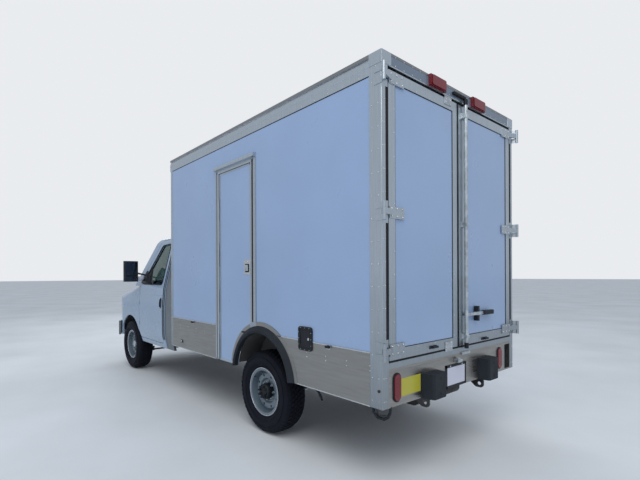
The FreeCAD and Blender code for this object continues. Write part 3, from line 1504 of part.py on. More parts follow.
def dock_bumpers():
    """Rubber blocks that taper towards the dock."""
    half_w = dock_bumper_width / 2
    half_h = dock_bumper_height / 2
    face = box_back - dock_bumper_depth
    bumpers = []
    for y in dock_bumper_ys:
        bumpers.append(prism(
            [(box_back, y - half_w), (box_back, y + half_w),
             (face, y + half_w - dock_bumper_taper, 20.0), (face, y - half_w + dock_bumper_taper, 20.0)],
            "xy", dock_bumper_z - half_h, dock_bumper_z + half_h))
    return bumpers


def fuel_filler_prism(low, high, inset=0.0):
    x0 = rear_x - filler_back
    x1 = rear_x - filler_front
    return prism(
        [(x0, filler_bottom, filler_corner), (x1, filler_bottom, filler_corner),
         (x1, filler_top, filler_corner), (x0, filler_top, filler_corner)], "xz", low, high, inset)


def fuel_filler():
    """Rounded frame with its lid set back inside it."""
    face = box_side + skirt_sheet + filler_proud
    lid = fuel_filler_prism(face - filler_recess, face + 1.0, filler_rim)
    return fuel_filler_prism(box_side, face).cut(lid)


def dash_body():
    """Dashboard from door to door, with the instrument hood in front of the driver."""
    cowl_top = cowl_z + cowl_thickness
    body = prism(shift([
        (-dash_front, cowl_top), (-dash_front, dash_front_z, 6.0), (-dash_back + 110.0, dash_top, 60.0),
        (-dash_back, dash_top - 72.0, 50.0), (-dash_back + 25.0, dash_bottom + 80.0, 40.0),
        (-dash_back + 100.0, dash_bottom, 20.0), (-firewall_back, dash_bottom), (-firewall_back, cowl_top),
    ], front_x), "xz", -dash_half_width, dash_half_width)
    binnacle = prism(shift([
        (-dash_back + 230.0, dash_front_z), (-dash_back + 200.0, binnacle_top - 10.0, 30.0),
        (-dash_back + 30.0, binnacle_top, 14.0), (-dash_back + 20.0, dash_top - 62.0, 14.0),
        (-dash_back + 60.0, dash_top - 72.0),
    ], front_x), "xz", driver_y - binnacle_half_width, driver_y + binnacle_half_width)
    return [body, binnacle]


def engine_cover(inset):
    """Cover over the rear of the engine, or the hollow that lies inset inside it."""
    low = cab_floor_z + cab_floor_thickness if inset == 0.0 else cab_floor_z - 10.0
    front = -firewall_back + (inset and 20.0)
    corners = [
        (-cover_back + inset, low), (-cover_back + inset, dash_bottom + 50.0 - inset, 80.0 - inset),
        (-dash_back - 90.0, dash_bottom + 130.0 - inset, 60.0 - inset), (front, dash_bottom + 140.0 - inset),
        (front, low),
    ]
    return prism(shift(corners, front_x), "xz", -cover_half_width + inset, cover_half_width - inset)


def dashboard():
    centre, along = steering_wheel_place()
    end = centre - along * (steering_hub_depth + 0.3)
    column = rod(end - along * steering_column_length, end, steering_column_radius)
    return joined(dash_body() + [engine_cover(0.0), column]).cut(engine_cover(cover_sheet))


def steering_wheel_place():
    """Middle of the wheel's rim, and the column's direction towards the driver."""
    return V(forward(-steering_wheel_back), driver_y, steering_wheel_z), V(-148.0, 0, 56.0).normalize()


def steering_wheel():
    """Rim, hub and spokes about the tilted column."""
    centre, along = steering_wheel_place()
    ring = Part.makeTorus(steering_wheel_radius, steering_grip_radius, centre, along)
    hub = rod(centre - along * steering_hub_depth, centre + along * 6.0, steering_hub_radius)
    across = V(0, 1, 0)
    upward = along.cross(across).normalize()
    spokes = []
    for turn in (0.0, 180.0, 270.0):
        way = across * math.cos(math.radians(turn)) + upward * math.sin(math.radians(turn))
        spokes.append(rod(centre - along * 12.0, centre - along * 2.0 + way * steering_wheel_radius,
                          steering_spoke_radius))
    return joined([ring, hub] + spokes)


def seat_parts(y):
    """Cushion, backrest and headrest of one seat, each closed by itself."""
    base = pedestal_top + seat_seam
    cushion = [
        (-cushion_back, base, 20.0), (-cushion_front - 10.0, base, 40.0),
        (-cushion_front, cushion_front_top, 50.0), (-cushion_back, cushion_back_top, 20.0),
    ]
    face = cushion_back + seat_seam
    rear = face + backrest_lean + backrest_thickness
    backrest = [
        (-face, base + 20.0), (-face, cushion_back_top - 15.0, 60.0),
        (-face - backrest_lean, backrest_top, 40.0),
        (-rear, backrest_top, 40.0), (-rear + 50.0, base + 20.0, 40.0),
    ]
    low = backrest_top + seat_seam
    headrest = [
        (-rear + headrest_thickness, low, 10.0), (-rear + headrest_thickness, headrest_top, 30.0),
        (-rear, headrest_top, 30.0), (-rear, low, 10.0),
    ]
    halves = ((cushion, cushion_half_width), (backrest, backrest_half_width), (headrest, headrest_half_width))
    return [prism(shift(corners, front_x), "xz", y - half, y + half) for corners, half in halves]


def seats():
    return seat_parts(driver_y) + seat_parts(-driver_y)


def placed(shape, x):
    copy = shape.copy()
    copy.translate(V(x, 0, 0))
    return copy


def cut_flare(ring, front_half):
    """Part of the left flare: ahead of the door's rear gap, or behind it."""
    split = rear_x + side_leaf_back
    if front_half:
        room = block(split, split + 800.0, 800.0, 1200.0, 300.0, 1300.0)
    else:
        room = block(split - 1200.0, split - side_gap, 800.0, 1200.0, 300.0, 1300.0)
    return ring.common(room)


def build():
    eyes, loop = tow_eyes()
    rails = both_sides(frame_rail())
    save("frame_rails", [joined([rail, eye]) for rail, eye in zip(rails, eyes)] + [loop])
    save("frame_crossmembers", crossmembers())
    save("engine_block", [engine_block()])
    save("rear_axle", [rear_axle()])
    save("rear_springs", both_sides(rear_spring()))
    save("front_axle", [placed(part, front_x) for part in front_axle()])
    save("fuel_tank", [fuel_tank()])
    save("exhaust", [exhaust()])

    save("cab_shell", [cab_shell()])
    save("cab_floor", [cab_floor()])
    save("windscreen", [windscreen()])
    save("front_fenders", [front_fenders()])
    save("wheel_liners", both_sides(wheel_liner()))
    save("grille", [grille()])
    save("front_bumper", [front_bumper()])
    save("dashboard", [dashboard()])
    save("seats", seats())
    save("cab_surround", [surround_band()])
    save("steering_wheel", [steering_wheel()])
    save("hood", [hood()])
    door = cab_door()
    glass = cab_door_glass()
    side_mirror = mirror()
    save("cab_door_left", [door])
    save("cab_door_right", [other_side(door)])
    save("cab_door_glass_left", [glass])
    save("cab_door_glass_right", [other_side(glass)])
    save("mirror_left", [side_mirror])
    save("mirror_right", [other_side(side_mirror)])

    save("box_floor", [box_floor()])
    save("floor_sills", [floor_sills()])
    panel = side_panel()
    save("box_panels", [panel.cut(side_doorway()), other_side(panel), box_front_wall(), box_roof()])
    save("box_frame", box_frame())
    save("lower_skirts", lower_skirts())
    save("rear_fascia", [rear_fascia()])
    save("head_lamps", both_sides(headlamp()))
    save("rear_lamps", rear_lamps())
    save("dock_bumpers", dock_bumpers())
    save("fuel_filler", [fuel_filler()])
    ring = flare_ring()
    save("rear_flares", [cut_flare(ring, False), other_side(ring)])
    save("side_door", [side_door()])
    save("side_door_flare", [cut_flare(ring, True)])
    straps, _ = rear_hinges()
    panel, surround = rear_door_left_parts()
    save("rear_door_left", [panel])
    save("rear_door_frame_left", [joined([surround] + straps)])
    panel, surround = rear_door_right_parts()
    save("rear_door_right", [panel])
    save("rear_door_frame_right", [joined([surround] + [other_side(strap) for strap in straps])])
    save("lock_rod", [lock_rod()])

    steer = knuckle()
    save("knuckle_left", [placed(steer, front_x)])
    save("knuckle_right", [placed(other_side(steer), front_x)])
    save("tie_rod", [placed(tie_rod(), front_x)])
    for axle, x, half, hub, proud in (("front", front_x, front_track_half, front_hub_radius, front_hub_proud),
                                      ("rear", rear_x, rear_track_half, rear_hub_radius, rear_hub_proud)):
        rim = wheel(half, 1, hub, proud)
        rubber = tyre(half)
        save("wheel_" + axle + "_left", [placed(rim, x)])
        save("wheel_" + axle + "_right", [placed(other_side(rim), x)])
        save("tyre_" + axle + "_left", [placed(rubber, x)])
        save("tyre_" + axle + "_right", [placed(other_side(rubber), x)])


if __name__ == "__main__":
    build()
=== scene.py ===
import bmesh
import bpy
import json
import math
from mathutils import Matrix, Vector
from mathutils.bvhtree import BVHTree


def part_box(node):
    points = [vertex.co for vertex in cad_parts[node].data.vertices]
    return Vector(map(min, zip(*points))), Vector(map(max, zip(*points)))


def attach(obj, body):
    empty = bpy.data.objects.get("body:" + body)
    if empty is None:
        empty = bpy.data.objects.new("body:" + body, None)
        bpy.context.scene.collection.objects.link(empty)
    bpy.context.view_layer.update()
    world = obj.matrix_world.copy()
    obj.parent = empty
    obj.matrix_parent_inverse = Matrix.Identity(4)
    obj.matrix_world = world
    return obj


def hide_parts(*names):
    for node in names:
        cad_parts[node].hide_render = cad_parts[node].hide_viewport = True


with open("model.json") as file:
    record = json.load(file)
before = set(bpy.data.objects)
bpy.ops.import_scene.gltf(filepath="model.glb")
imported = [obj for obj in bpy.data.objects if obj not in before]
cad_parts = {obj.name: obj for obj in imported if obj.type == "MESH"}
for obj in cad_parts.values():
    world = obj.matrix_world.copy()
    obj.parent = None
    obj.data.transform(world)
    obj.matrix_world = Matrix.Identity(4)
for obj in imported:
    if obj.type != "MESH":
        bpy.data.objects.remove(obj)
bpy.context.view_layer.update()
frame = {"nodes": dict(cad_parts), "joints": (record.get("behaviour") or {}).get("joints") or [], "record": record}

# Places and sizes in metres, most of them taken from the frame
joint_at = {j["name"]: Vector(j["pos_m"]) for j in frame["joints"] if "pos_m" in j}
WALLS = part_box("box_panels")
BOX_SIDE = WALLS[1].y
BOX_FRONT = WALLS[1].x
BOX_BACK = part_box("rear_fascia")[0].x
BOX_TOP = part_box("box_frame")[1].z
SKIRT_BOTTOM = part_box("lower_skirts")[0].z
SKIRT_TOP = 0.937
REAR_X = joint_at["roll_rear_left"].x
FRONT_X = joint_at["roll_front_left"].x
AXLE_Z = joint_at["roll_rear_left"].z
TYRE_RADIUS = AXLE_Z
DOOR_LOW, DOOR_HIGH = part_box("side_door")
ARCH_X = REAR_X - 0.040
ARCH_Z = 0.518
RIVET = 0.0045
HINGE_HEIGHTS = (0.955, 1.8805, 2.785)
GUIDE_HEIGHTS = (0.960, 1.8705, 2.750)
LOCK_HANDLE_Z = 1.135
DRIVER_Y = 0.495
PLATE_SINK = 0.0015
SIDES = (("left", 1), ("right", -1))


# Camera and light

CAMERA_FOCAL_PX = 407.7
CAMERA_CENTRE_PX = (281.3, 275.6)
PHOTO_SIZE = (640, 480)
CAMERA_FROM_REAR_AXLE = (-3.075, 3.193, 1.459)
CAMERA_YAW = math.radians(-38.73)
CAMERA_ROLL = math.radians(-0.23)


def make_camera():
    data = bpy.data.cameras.new("camera")
    data.sensor_width = 36.0
    data.lens = CAMERA_FOCAL_PX / PHOTO_SIZE[0] * data.sensor_width
    data.shift_x = (PHOTO_SIZE[0] / 2 - CAMERA_CENTRE_PX[0]) / PHOTO_SIZE[0]
    data.shift_y = (CAMERA_CENTRE_PX[1] - PHOTO_SIZE[1] / 2) / PHOTO_SIZE[0]
    data.clip_end = 300.0
    camera = bpy.data.objects.new("camera", data)
    bpy.context.scene.collection.objects.link(camera)
    ahead = Vector((math.cos(CAMERA_YAW), math.sin(CAMERA_YAW), 0))
    right = Vector((math.sin(CAMERA_YAW), -math.cos(CAMERA_YAW), 0))
    up = right.cross(ahead)
    across = right * math.cos(CAMERA_ROLL) + up * math.sin(CAMERA_ROLL)
    over = up * math.cos(CAMERA_ROLL) - right * math.sin(CAMERA_ROLL)
    turn = Matrix((across, over, -ahead)).transposed().to_4x4()
    x, y, z = CAMERA_FROM_REAR_AXLE
    camera.matrix_world = Matrix.Translation((REAR_X + x, y, z)) @ turn
    bpy.context.scene.camera = camera


def area_light(name, place, target, size, power, colour):
    data = bpy.data.lights.new(name, "AREA")
    data.size = size
    data.energy = power
    data.color = colour
    light = bpy.data.objects.new(name, data)
    light.location = place
    way = Vector(target) - Vector(place)
    light.rotation_euler = way.to_track_quat("-Z", "Y").to_euler()
    bpy.context.scene.collection.objects.link(light)


def add_node(tree, kind, *sockets, **values):
    """A new shader node; sockets go to its inputs in order, values to inputs by name."""
    node = tree.nodes.new("ShaderNode" + kind)
    for socket, target in zip(sockets, node.inputs):
        tree.links.new(socket, target)
    for key, value in values.items():
        node.inputs[key.replace("_", " ")].default_value = value
    return node


def make_light():
    world = bpy.data.worlds.new("studio")
    bpy.context.scene.world = world
    world.use_nodes = True
    tree = world.node_tree
    tree.nodes.clear()
    soft = add_node(tree, "Background", Color=(0.86, 0.91, 1.0, 1), Strength=0.62)
    seen = add_node(tree, "Background", Color=(0.86, 0.88, 0.91, 1), Strength=0.95)
    path = add_node(tree, "LightPath")
    either = add_node(tree, "Math", path.outputs["Is Camera Ray"], path.outputs["Is Transmission Ray"])
    either.operation = "MAXIMUM"
    mix = add_node(tree, "MixShader", either.outputs[0], soft.outputs[0], seen.outputs[0])
    add_node(tree, "OutputWorld", mix.outputs[0])
    area_light("key", (-6.0, 5.0, 9.0), (0, 0, 1), 7.0, 430.0, (1.0, 0.98, 0.95))
    area_light("fill", (7.0, -4.0, 7.0), (0, 0, 1), 7.0, 220.0, (0.95, 0.97, 1.0))


# Materials

made = {}


class Shader:
    """A principled material with helpers that add procedural colour and bump."""

    def __init__(self, name, colour, roughness, metallic=0.0):
        self.material = bpy.data.materials.new(name)
        self.material.use_nodes = True
        self.material.diffuse_color = (*colour, 1)
        self.tree = self.material.node_tree
        self.surface = self.tree.nodes["Principled BSDF"]
        self.set(Roughness=roughness, Metallic=metallic)
        self.colour = colour
        self.place = add_node(self.tree, "TexCoord").outputs["Object"]
        made[name] = self.material

    def set(self, **values):
        for key, value in values.items():
            self.surface.inputs[key.replace("_", " ")].default_value = value
        return self

    def link(self, value, target):
        self.tree.links.new(value, self.surface.inputs[target])
        return self

    def noise(self, scale, stretch=(1, 1, 1)):
        mapping = add_node(self.tree, "Mapping", self.place, Scale=stretch)
        return add_node(self.tree, "TexNoise", mapping.outputs[0], Scale=scale, Detail=4.0).outputs["Fac"]

    def ramp(self, value, low, dark, high, light):
        node = add_node(self.tree, "ValToRGB", value)
        for element, position, colour in zip(node.color_ramp.elements, (low, high), (dark, light)):
            element.position = position
            element.color = (*colour, 1)
        return node.outputs["Color"]

    def tinted(self, amount, scale, stretch=(1, 1, 1)):
        """The base colour, varied by noise between two shades."""
        dark = tuple(c * (1 - amount) for c in self.colour)
        light = tuple(min(1.0, c * (1 + amount)) for c in self.colour)
        return self.link(self.ramp(self.noise(scale, stretch), 0.35, dark, 0.65, light), "Base Color")

    def rough(self, low, high, scale, stretch=(1, 1, 1)):
        value = self.ramp(self.noise(scale, stretch), 0.3, (low,) * 3, 0.7, (high,) * 3)
        return self.link(value, "Roughness")

    def bump(self, height, strength, distance):
        node = add_node(self.tree, "Bump", Strength=strength, Distance=distance)
        self.tree.links.new(height, node.inputs["Height"])
        return self.link(node.outputs["Normal"], "Normal")


def painted_ground_reflection_shade(shader, strength):
    """Painted shade: darkens the base colour towards the bottom, standing in for the dark ground reflected in the
    metal.
    """
    tree = shader.tree
    apart = add_node(tree, "SeparateXYZ", shader.place)
    height = add_node(tree, "MapRange", apart.outputs["Z"], From_Min=0.5, From_Max=1.5,
                      To_Min=1.0 - strength, To_Max=1.0)
    shade = tree.nodes.new("ShaderNodeMix")
    shade.data_type = "RGBA"
    shade.blend_type = "MULTIPLY"
    shade.inputs["Factor"].default_value = 1.0
    before = shader.surface.inputs["Base Color"].links[0].from_socket
    tree.links.new(before, shade.inputs["A"])
    tree.links.new(height.outputs["Result"], shade.inputs["B"])
    shader.link(shade.outputs["Result"], "Base Color")


def paint(name, colour, roughness=0.22):
    shader = Shader(name, colour, roughness)
    shader.tinted(0.03, 1.3).rough(roughness - 0.04, roughness + 0.08, 3.0)
    shader.set(Coat_Weight=0.4, Coat_Roughness=0.08)
    return shader.bump(shader.noise(900.0), 0.02, 0.0002)


def metal(name, colour, roughness, stretch, amount=0.12):
    """Rolled or brushed metal whose grain runs along the axis that is stretched least."""
    shader = Shader(name, colour, roughness, 1.0)
    shader.tinted(amount, 6.0, stretch).rough(roughness - 0.1, roughness + 0.12, 9.0, stretch)
    return shader.bump(shader.noise(60.0, stretch), 0.03, 0.0004)


def plastic(name, colour, roughness, grain=0.15):
    shader = Shader(name, colour, roughness)
    shader.tinted(0.15, 5.0).rough(roughness - 0.06, roughness + 0.08, 12.0)
    if "lens" not in name:
        shader.set(Specular_IOR_Level=0.2 if "rubber" in name else 0.32)
    return shader.bump(shader.noise(700.0), grain, 0.0004)


def cloth(name, colour):
    shader = Shader(name, colour, 0.9)
    shader.tinted(0.25, 260.0).set(Sheen_Weight=0.3, Sheen_Roughness=0.5)
    waves = []
    for direction in ("X", "Z"):
        wave = add_node(shader.tree, "TexWave", shader.place, Scale=140.0)
        wave.bands_direction = direction
        waves.append(wave.outputs["Fac"])
    both = add_node(shader.tree, "Math", *waves)
    both.operation = "MAXIMUM"
    return shader.bump(both.outputs[0], 0.35, 0.0008)


def glass(name, colour):
    return Shader(name, colour, 0.02).tinted(0.05, 2.0).set(Transmission_Weight=1.0, IOR=1.45)


def make_materials():
    # Painted shade: box_paint and body_paint are the white box and cab darkened and tinted blue, as white paint
    # looks in shade under a blue sky.
    paint("box_paint", (0.300, 0.425, 0.650), 0.3)
    paint("body_paint", (0.290, 0.400, 0.540), 0.25)
    paint("surround_paint", (0.11, 0.13, 0.15), 0.45)
    paint("floor_paint", (0.085, 0.085, 0.085), 0.6)
    paint("chassis_black", (0.02, 0.02, 0.022), 0.5)
    paint("bumper_paint", (0.16, 0.17, 0.18), 0.4)
    # Painted shade: wheel_paint is darkened and tinted blue, as the wheels look in shadow.
    paint("wheel_paint", (0.125, 0.17, 0.21), 0.35)
    paint("header_paint", (0.135, 0.185, 0.25), 0.35)
    paint("yellow", (0.46, 0.43, 0.035), 0.5)
    paint("plate_white", (0.58, 0.60, 0.72), 0.4)
    # Painted shade: frame_aluminium darkens towards the bottom, standing in for reflected dark ground.
    painted_ground_reflection_shade(metal("frame_aluminium", (0.52, 0.58, 0.63), 0.36, (30, 30, 0.8), 0.05), 0.45)
    metal("rail_aluminium", (0.48, 0.53, 0.57), 0.40, (0.8, 30, 30), 0.05)
    metal("trim_aluminium", (0.30, 0.31, 0.32), 0.35, (0.8, 30, 30), 0.05)
    metal("skirt_aluminium", (0.325, 0.325, 0.315), 0.42, (0.6, 8, 8), 0.04)
    metal("stainless", (0.345, 0.335, 0.315), 0.34, (8, 0.6, 8), 0.05)
    metal("zinc_steel", (0.55, 0.60, 0.63), 0.36, (3, 3, 3), 0.2)
    metal("exhaust_steel", (0.28, 0.25, 0.22), 0.5, (1, 3, 3), 0.3)
    metal("bright_steel", (0.62, 0.64, 0.66), 0.2, (4, 4, 4), 0.08)
    metal("axle_iron", (0.09, 0.075, 0.065), 0.65, (2, 2, 2), 0.35)
    metal("engine_grey", (0.16, 0.16, 0.16), 0.55, (2, 2, 2), 0.3)
    metal("mirror_glass", (0.12, 0.15, 0.20), 0.12, (1, 1, 1), 0.02)
    plastic("tank_plastic", (0.025, 0.025, 0.025), 0.55)
    plastic("black_plastic", (0.009, 0.012, 0.017), 0.5)
    plastic("black_rubber", (0.018, 0.023, 0.031), 0.6, 0.3)
    plastic("tyre_rubber", (0.0045, 0.0065, 0.013), 0.72, 0.3)
    plastic("dash_plastic", (0.10, 0.10, 0.105), 0.6, 0.3)
    plastic("seal_black", (0.01, 0.01, 0.012), 0.7)
    plastic("red_lens", (0.18, 0.012, 0.020), 0.18, 0.05)
    plastic("amber_lens", (0.7, 0.22, 0.02), 0.15, 0.05)
    plastic("clear_lens", (0.55, 0.58, 0.6), 0.12, 0.05)
    cloth("seat_cloth", (0.10, 0.105, 0.115))
    # Greenish like real glass, and darkened further as painted shade of the cab's inside seen through it.
    glass("glazing", (0.20, 0.28, 0.27))


def dress_nodes():
    """Each CAD node takes the material of its slot."""
    for node, thing in frame["nodes"].items():
        entry = next(s for s in frame["record"]["subparts"] if s["node"] == node)
        thing.data.materials.clear()
        thing.data.materials.append(made[entry["material_slot"]])
        if node.startswith("mirror"):
            edge = thing.modifiers.new("edge", "BEVEL")
            edge.width = 0.009
            edge.segments = 3
            edge.limit_method = "ANGLE"
            edge.angle_limit = math.radians(50)


# Mesh helpers

def piece(name, mesh_data, material, body="chassis", bevel=0.0, smooth=False):
    verts, faces = mesh_data
    mesh = bpy.data.meshes.new(name)
    mesh.from_pydata([tuple(v) for v in verts], [], faces)
    mesh.validate()
    outward = bmesh.new()
    outward.from_mesh(mesh)
    bmesh.ops.recalc_face_normals(outward, faces=outward.faces)
    outward.to_mesh(mesh)
    outward.free()
    mesh.update()
    mesh.materials.append(made[material])
    thing = bpy.data.objects.new(name, mesh)
    bpy.context.scene.collection.objects.link(thing)
    if smooth:
        mesh.shade_smooth()
    if bevel:
        rounding = thing.modifiers.new("edges", "BEVEL")
        rounding.width = bevel
        rounding.segments = 2
        rounding.limit_method = "ANGLE"
    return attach(thing, body)


def strip(rows, closed=False):
    """Skin over rows of as many points each, capped at both ends unless it closes on itself."""
    count, size = len(rows), len(rows[0])
    faces = []
    for i in range(count if closed else count - 1):
        here, there = i * size, (i + 1) % count * size
        faces += [(here + k, here + (k + 1) % size, there + (k + 1) % size, there + k) for k in range(size)]
    if not closed:
        faces += [tuple(range(size)), tuple(range((count - 1) * size, count * size))]
    return [corner for row in rows for corner in row], faces


def box_mesh(one, other):
    """A box between two opposite corners."""
    (x0, x1), (y0, y1), (z0, z1) = (sorted(ends) for ends in zip(one, other))
    return strip([[(x0, y0, z), (x1, y0, z), (x1, y1, z), (x0, y1, z)] for z in (z0, z1)])


def prism_mesh(corners, way):
    """A closed flat outline of 3-D points carried along a vector."""
    return strip([corners, [Vector(c) + Vector(way) for c in corners]])


def side_slab(outline, y, depth):
    """A slab whose outline in x and z starts at y."""
    return prism_mesh([(a, y, b) for a, b in outline], (0, depth, 0))


def cross_slab(outline, x, depth):
    """A slab whose outline in y and z starts at x."""
    return prism_mesh([(x, a, b) for a, b in outline], (depth, 0, 0))


def circle(middle, side, other, radius, segments):
    """Points round a middle, in the plane of two unit vectors."""
    angles = [2 * math.pi * i / segments for i in range(segments)]
    return [middle + (side * math.cos(a) + other * math.sin(a)) * radius for a in angles]


def lathe_mesh(profile, centre, along, segments=32, ring=False):
    """Points of (distance along, radius) turned about a line; ring joins the last to the first."""
    along = Vector(along).normalized()
    side = along.orthogonal().normalized()
    verts, rows = [], []
    for reach, radius in profile:
        middle = Vector(centre) + along * reach
        points = circle(middle, side, along.cross(side), radius, segments) if radius else [middle]
        rows.append(range(len(verts), len(verts) + len(points)))
        verts += points
    faces = []
    for low, high in zip(rows, rows[1:] + (rows[:1] if ring else [])):
        for i in range(segments):
            j = (i + 1) % segments
            corners = (low[i % len(low)], low[j % len(low)], high[j % len(high)], high[i % len(high)])
            faces.append(tuple(dict.fromkeys(corners)))
    if not ring:
        faces += [tuple(row) for row in (rows[0], rows[-1]) if len(row) > 1]
    return verts, faces


def rod_mesh(start, end, radius, segments=16):
    along = Vector(end) - Vector(start)
    return lathe_mesh([(0, radius), (along.length, radius)], start, along, segments)


def knob_mesh(centre, way, radius, shoulder, height, top, segments, start=0.0):
    """A round head with a chamfered edge."""
    profile = [(start, radius), (shoulder, radius), (height, top), (height, 0.0)]
    return lathe_mesh(profile, centre, way, segments)


def tube_mesh(points, radius, segments=12, closed=False):
    """A round tube swept along a line of points."""
    points = [Vector(p) for p in points]
    count = len(points)
    rows, side = [], None
    for i, point in enumerate(points):
        before = points[i - 1] if closed else points[max(i - 1, 0)]
        after = points[(i + 1) % count] if closed else points[min(i + 1, count - 1)]
        way = (after - before).normalized()
        side = way.orthogonal().normalized() if side is None else (side - way * side.dot(way)).normalized()
        rows.append(circle(point, side, way.cross(side), radius, segments))
    return strip(rows, closed)


def merged(meshes):
    verts, faces = [], []
    for more_verts, more_faces in meshes:
        base = len(verts)
        verts += list(more_verts)
        faces += [tuple(base + i for i in f) for f in more_faces]
    return verts, faces


def boxes(name, ends, material, body="chassis", bevel=0.0):
    return piece(name, merged(box_mesh(one, other) for one, other in ends), material, body, bevel)


def side_boxes(name, low, high, rows, material, body="chassis", bevel=0.0, out=1):
    """Boxes between two depths from the box's side plane, each given as x0, z0, x1, z1."""
    ends = [((x0, out * (BOX_SIDE + low), z0), (x1, out * (BOX_SIDE + high), z1))
            for x0, z0, x1, z1 in rows]
    return boxes(name, ends, material, body, bevel)


def rear_boxes(name, low, high, rows, material, body="chassis", bevel=0.0):
    """Boxes between two depths from the box's rear plane, each given as y0, z0, y1, z1."""
    ends = [((BOX_BACK + low, y0, z0), (BOX_BACK + high, y1, z1)) for y0, z0, y1, z1 in rows]
    return boxes(name, ends, material, body, bevel)


def screw_heads(name, places, way, body="chassis", material="bright_steel", radius=RIVET, height=0.003):
    """Low domed heads standing on a surface that faces along way."""
    profile = [(-0.001, radius), (height * 0.4, radius), (height * 0.8, radius * 0.75),
               (height, radius * 0.3)]
    heads = merged(lathe_mesh(profile, place, way, 8) for place in places)
    return piece(name, heads, material, body, smooth=True)


def steps(start, end, pitch):
    """Evenly spaced values between two ends, about a pitch apart."""
    count = max(1, round(abs(end - start) / pitch))
    return [start + (end - start) * i / count for i in range(count + 1)]


def rounded(points, radius=0.0, steps_per_corner=5):
    """A closed flat outline of (a, b) or (a, b, radius) points with its corners rounded."""
    result = []
    count = len(points)
    flat = [Vector(p[:2]) for p in points]
    for i in range(count):
        here = flat[i]
        size = points[i][2] if len(points[i]) > 2 else radius
        before = (flat[i - 1] - here).normalized()
        after = (flat[(i + 1) % count] - here).normalized()
        half = before.angle(after) / 2
        if size <= 0 or half > 1.5:
            result.append(here)
            continue
        reach = size / math.tan(half)
        centre = here + (before + after).normalized() * (size / math.sin(half))
        start = here + before * reach - centre
        end = here + after * reach - centre
        for k in range(steps_per_corner + 1):
            t = k / steps_per_corner
            mix = (start * (1 - t) + end * t).normalized() * size
            result.append(centre + mix)
    return result


def grown(outline, amount):
    """A convex outline scaled about its middle so that its sides move out by about amount."""
    low, high = (Vector(pick(values) for values in zip(*outline)) for pick in (min, max))
    middle = (low + high) / 2
    half = (high - low) / 2
    return [Vector((middle.x + (p[0] - middle.x) * (1 + amount / half.x),
                    middle.y + (p[1] - middle.y) * (1 + amount / half.y))) for p in outline]


def denser(points, pitch, closed=True):
    """The same line with points no further apart than pitch."""
    result = []
    count = len(points)
    for i in range(count if closed else count - 1):
        a, b = Vector(points[i]), Vector(points[(i + 1) % count])
        parts = max(1, math.ceil((b - a).length / pitch))
        result += [a + (b - a) * (k / parts) for k in range(parts)]
    if not closed:
        result.append(Vector(points[-1]))
    return result


def outward_by(out, reach):
    return Vector((0, out * reach, 0))


trees = {}


def surface(node, start, way):
    """The point where a line first meets a CAD node."""
    if node not in trees:
        mesh = frame["nodes"][node].data
        corners = [v.co for v in mesh.vertices]
        trees[node] = BVHTree.FromPolygons(corners, [p.vertices for p in mesh.polygons])
    hit = trees[node].ray_cast(Vector(start), Vector(way))[0]
    if hit is None:
        raise ValueError("no surface of " + node + " at " + str(tuple(start)))
    return hit


def on_side(node, x, z, out):
    return surface(node, (x, out * 1.6, z), (0, -out, 0))


def on_front(node, y, z):
    return surface(node, (FRONT_X + 1.2, y, z), (-1, 0, 0))


def applied(places, way, height):
    """A low plate on a row of surface points, raised along way."""
    way = Vector(way)
    return strip([[p - way * PLATE_SINK for p in places], [p + way * height for p in places]])


def side_plate(name, node, outline, out, height, body, material, bevel=0.0):
    """A plate whose outline in x and z lies on the side of a CAD node."""
    points = [on_side(node, a, b, out) for a, b in outline]
    return piece(name, applied(points, (0, out, 0), height), material, body, bevel)


def patch(find, middle, size, way, height):
    """A low pad with rounded corners that follows a curved surface."""
    way = Vector(way)
    across, up = 8, 12
    verts, faces = [], []
    for j in range(up + 1):
        for i in range(across + 1):
            u, v = 2 * i / across - 1, 2 * j / up - 1
            a = middle[0] + size[0] / 2 * u * math.sqrt(1 - 0.12 * v ** 8)
            b = middle[1] + size[1] / 2 * v * math.sqrt(1 - 0.06 * u ** 8)
            place = find(a, b)
            verts += [place + way * height, place - way * PLATE_SINK]
    row = across + 1
    for j in range(up):
        for i in range(across):
            k = 2 * (j * row + i)
            right, above = k + 2, k + 2 * row
            faces += [(k, right, above + 2, above), (k + 1, above + 1, above + 3, right + 1)]
    rim = [j * row for j in range(up + 1)] + [up * row + i for i in range(1, row)]
    rim += [j * row + across for j in range(up - 1, -1, -1)] + list(range(across - 1, 0, -1))
    faces += [(2 * a, 2 * b, 2 * b + 1, 2 * a + 1) for a, b in zip(rim, rim[1:] + rim[:1])]
    return verts, faces


def rectangle(middle, size):
    (a, b), (w, h) = middle, size
    return [(a - w / 2, b - h / 2), (a + w / 2, b - h / 2), (a + w / 2, b + h / 2), (a - w / 2, b + h / 2)]


# Road wheels

RIM_EDGE = 0.095
DISC_FACE = RIM_EDGE - 0.048
NUT_SEAT = DISC_FACE - 0.022
NUT_CIRCLE = 0.0825
HUB_NUT_CIRCLE = 0.050

def tyre_mesh(y, x):
    half = 0.1205
    profile = [(-0.078, 0.2035), (-0.086, 0.226), (-0.106, 0.240), (-half + 0.002, 0.262), (-half, 0.285),
               (-half + 0.002, 0.312), (-0.112, 0.338), (-0.098, 0.360), (-0.078, 0.3685), (0.0, 0.3705)]
    profile += [(-a, r) for a, r in reversed(profile[:-1])]
    return lathe_mesh(profile, (x, y, AXLE_Z), (0, 1, 0), 96, ring=True)


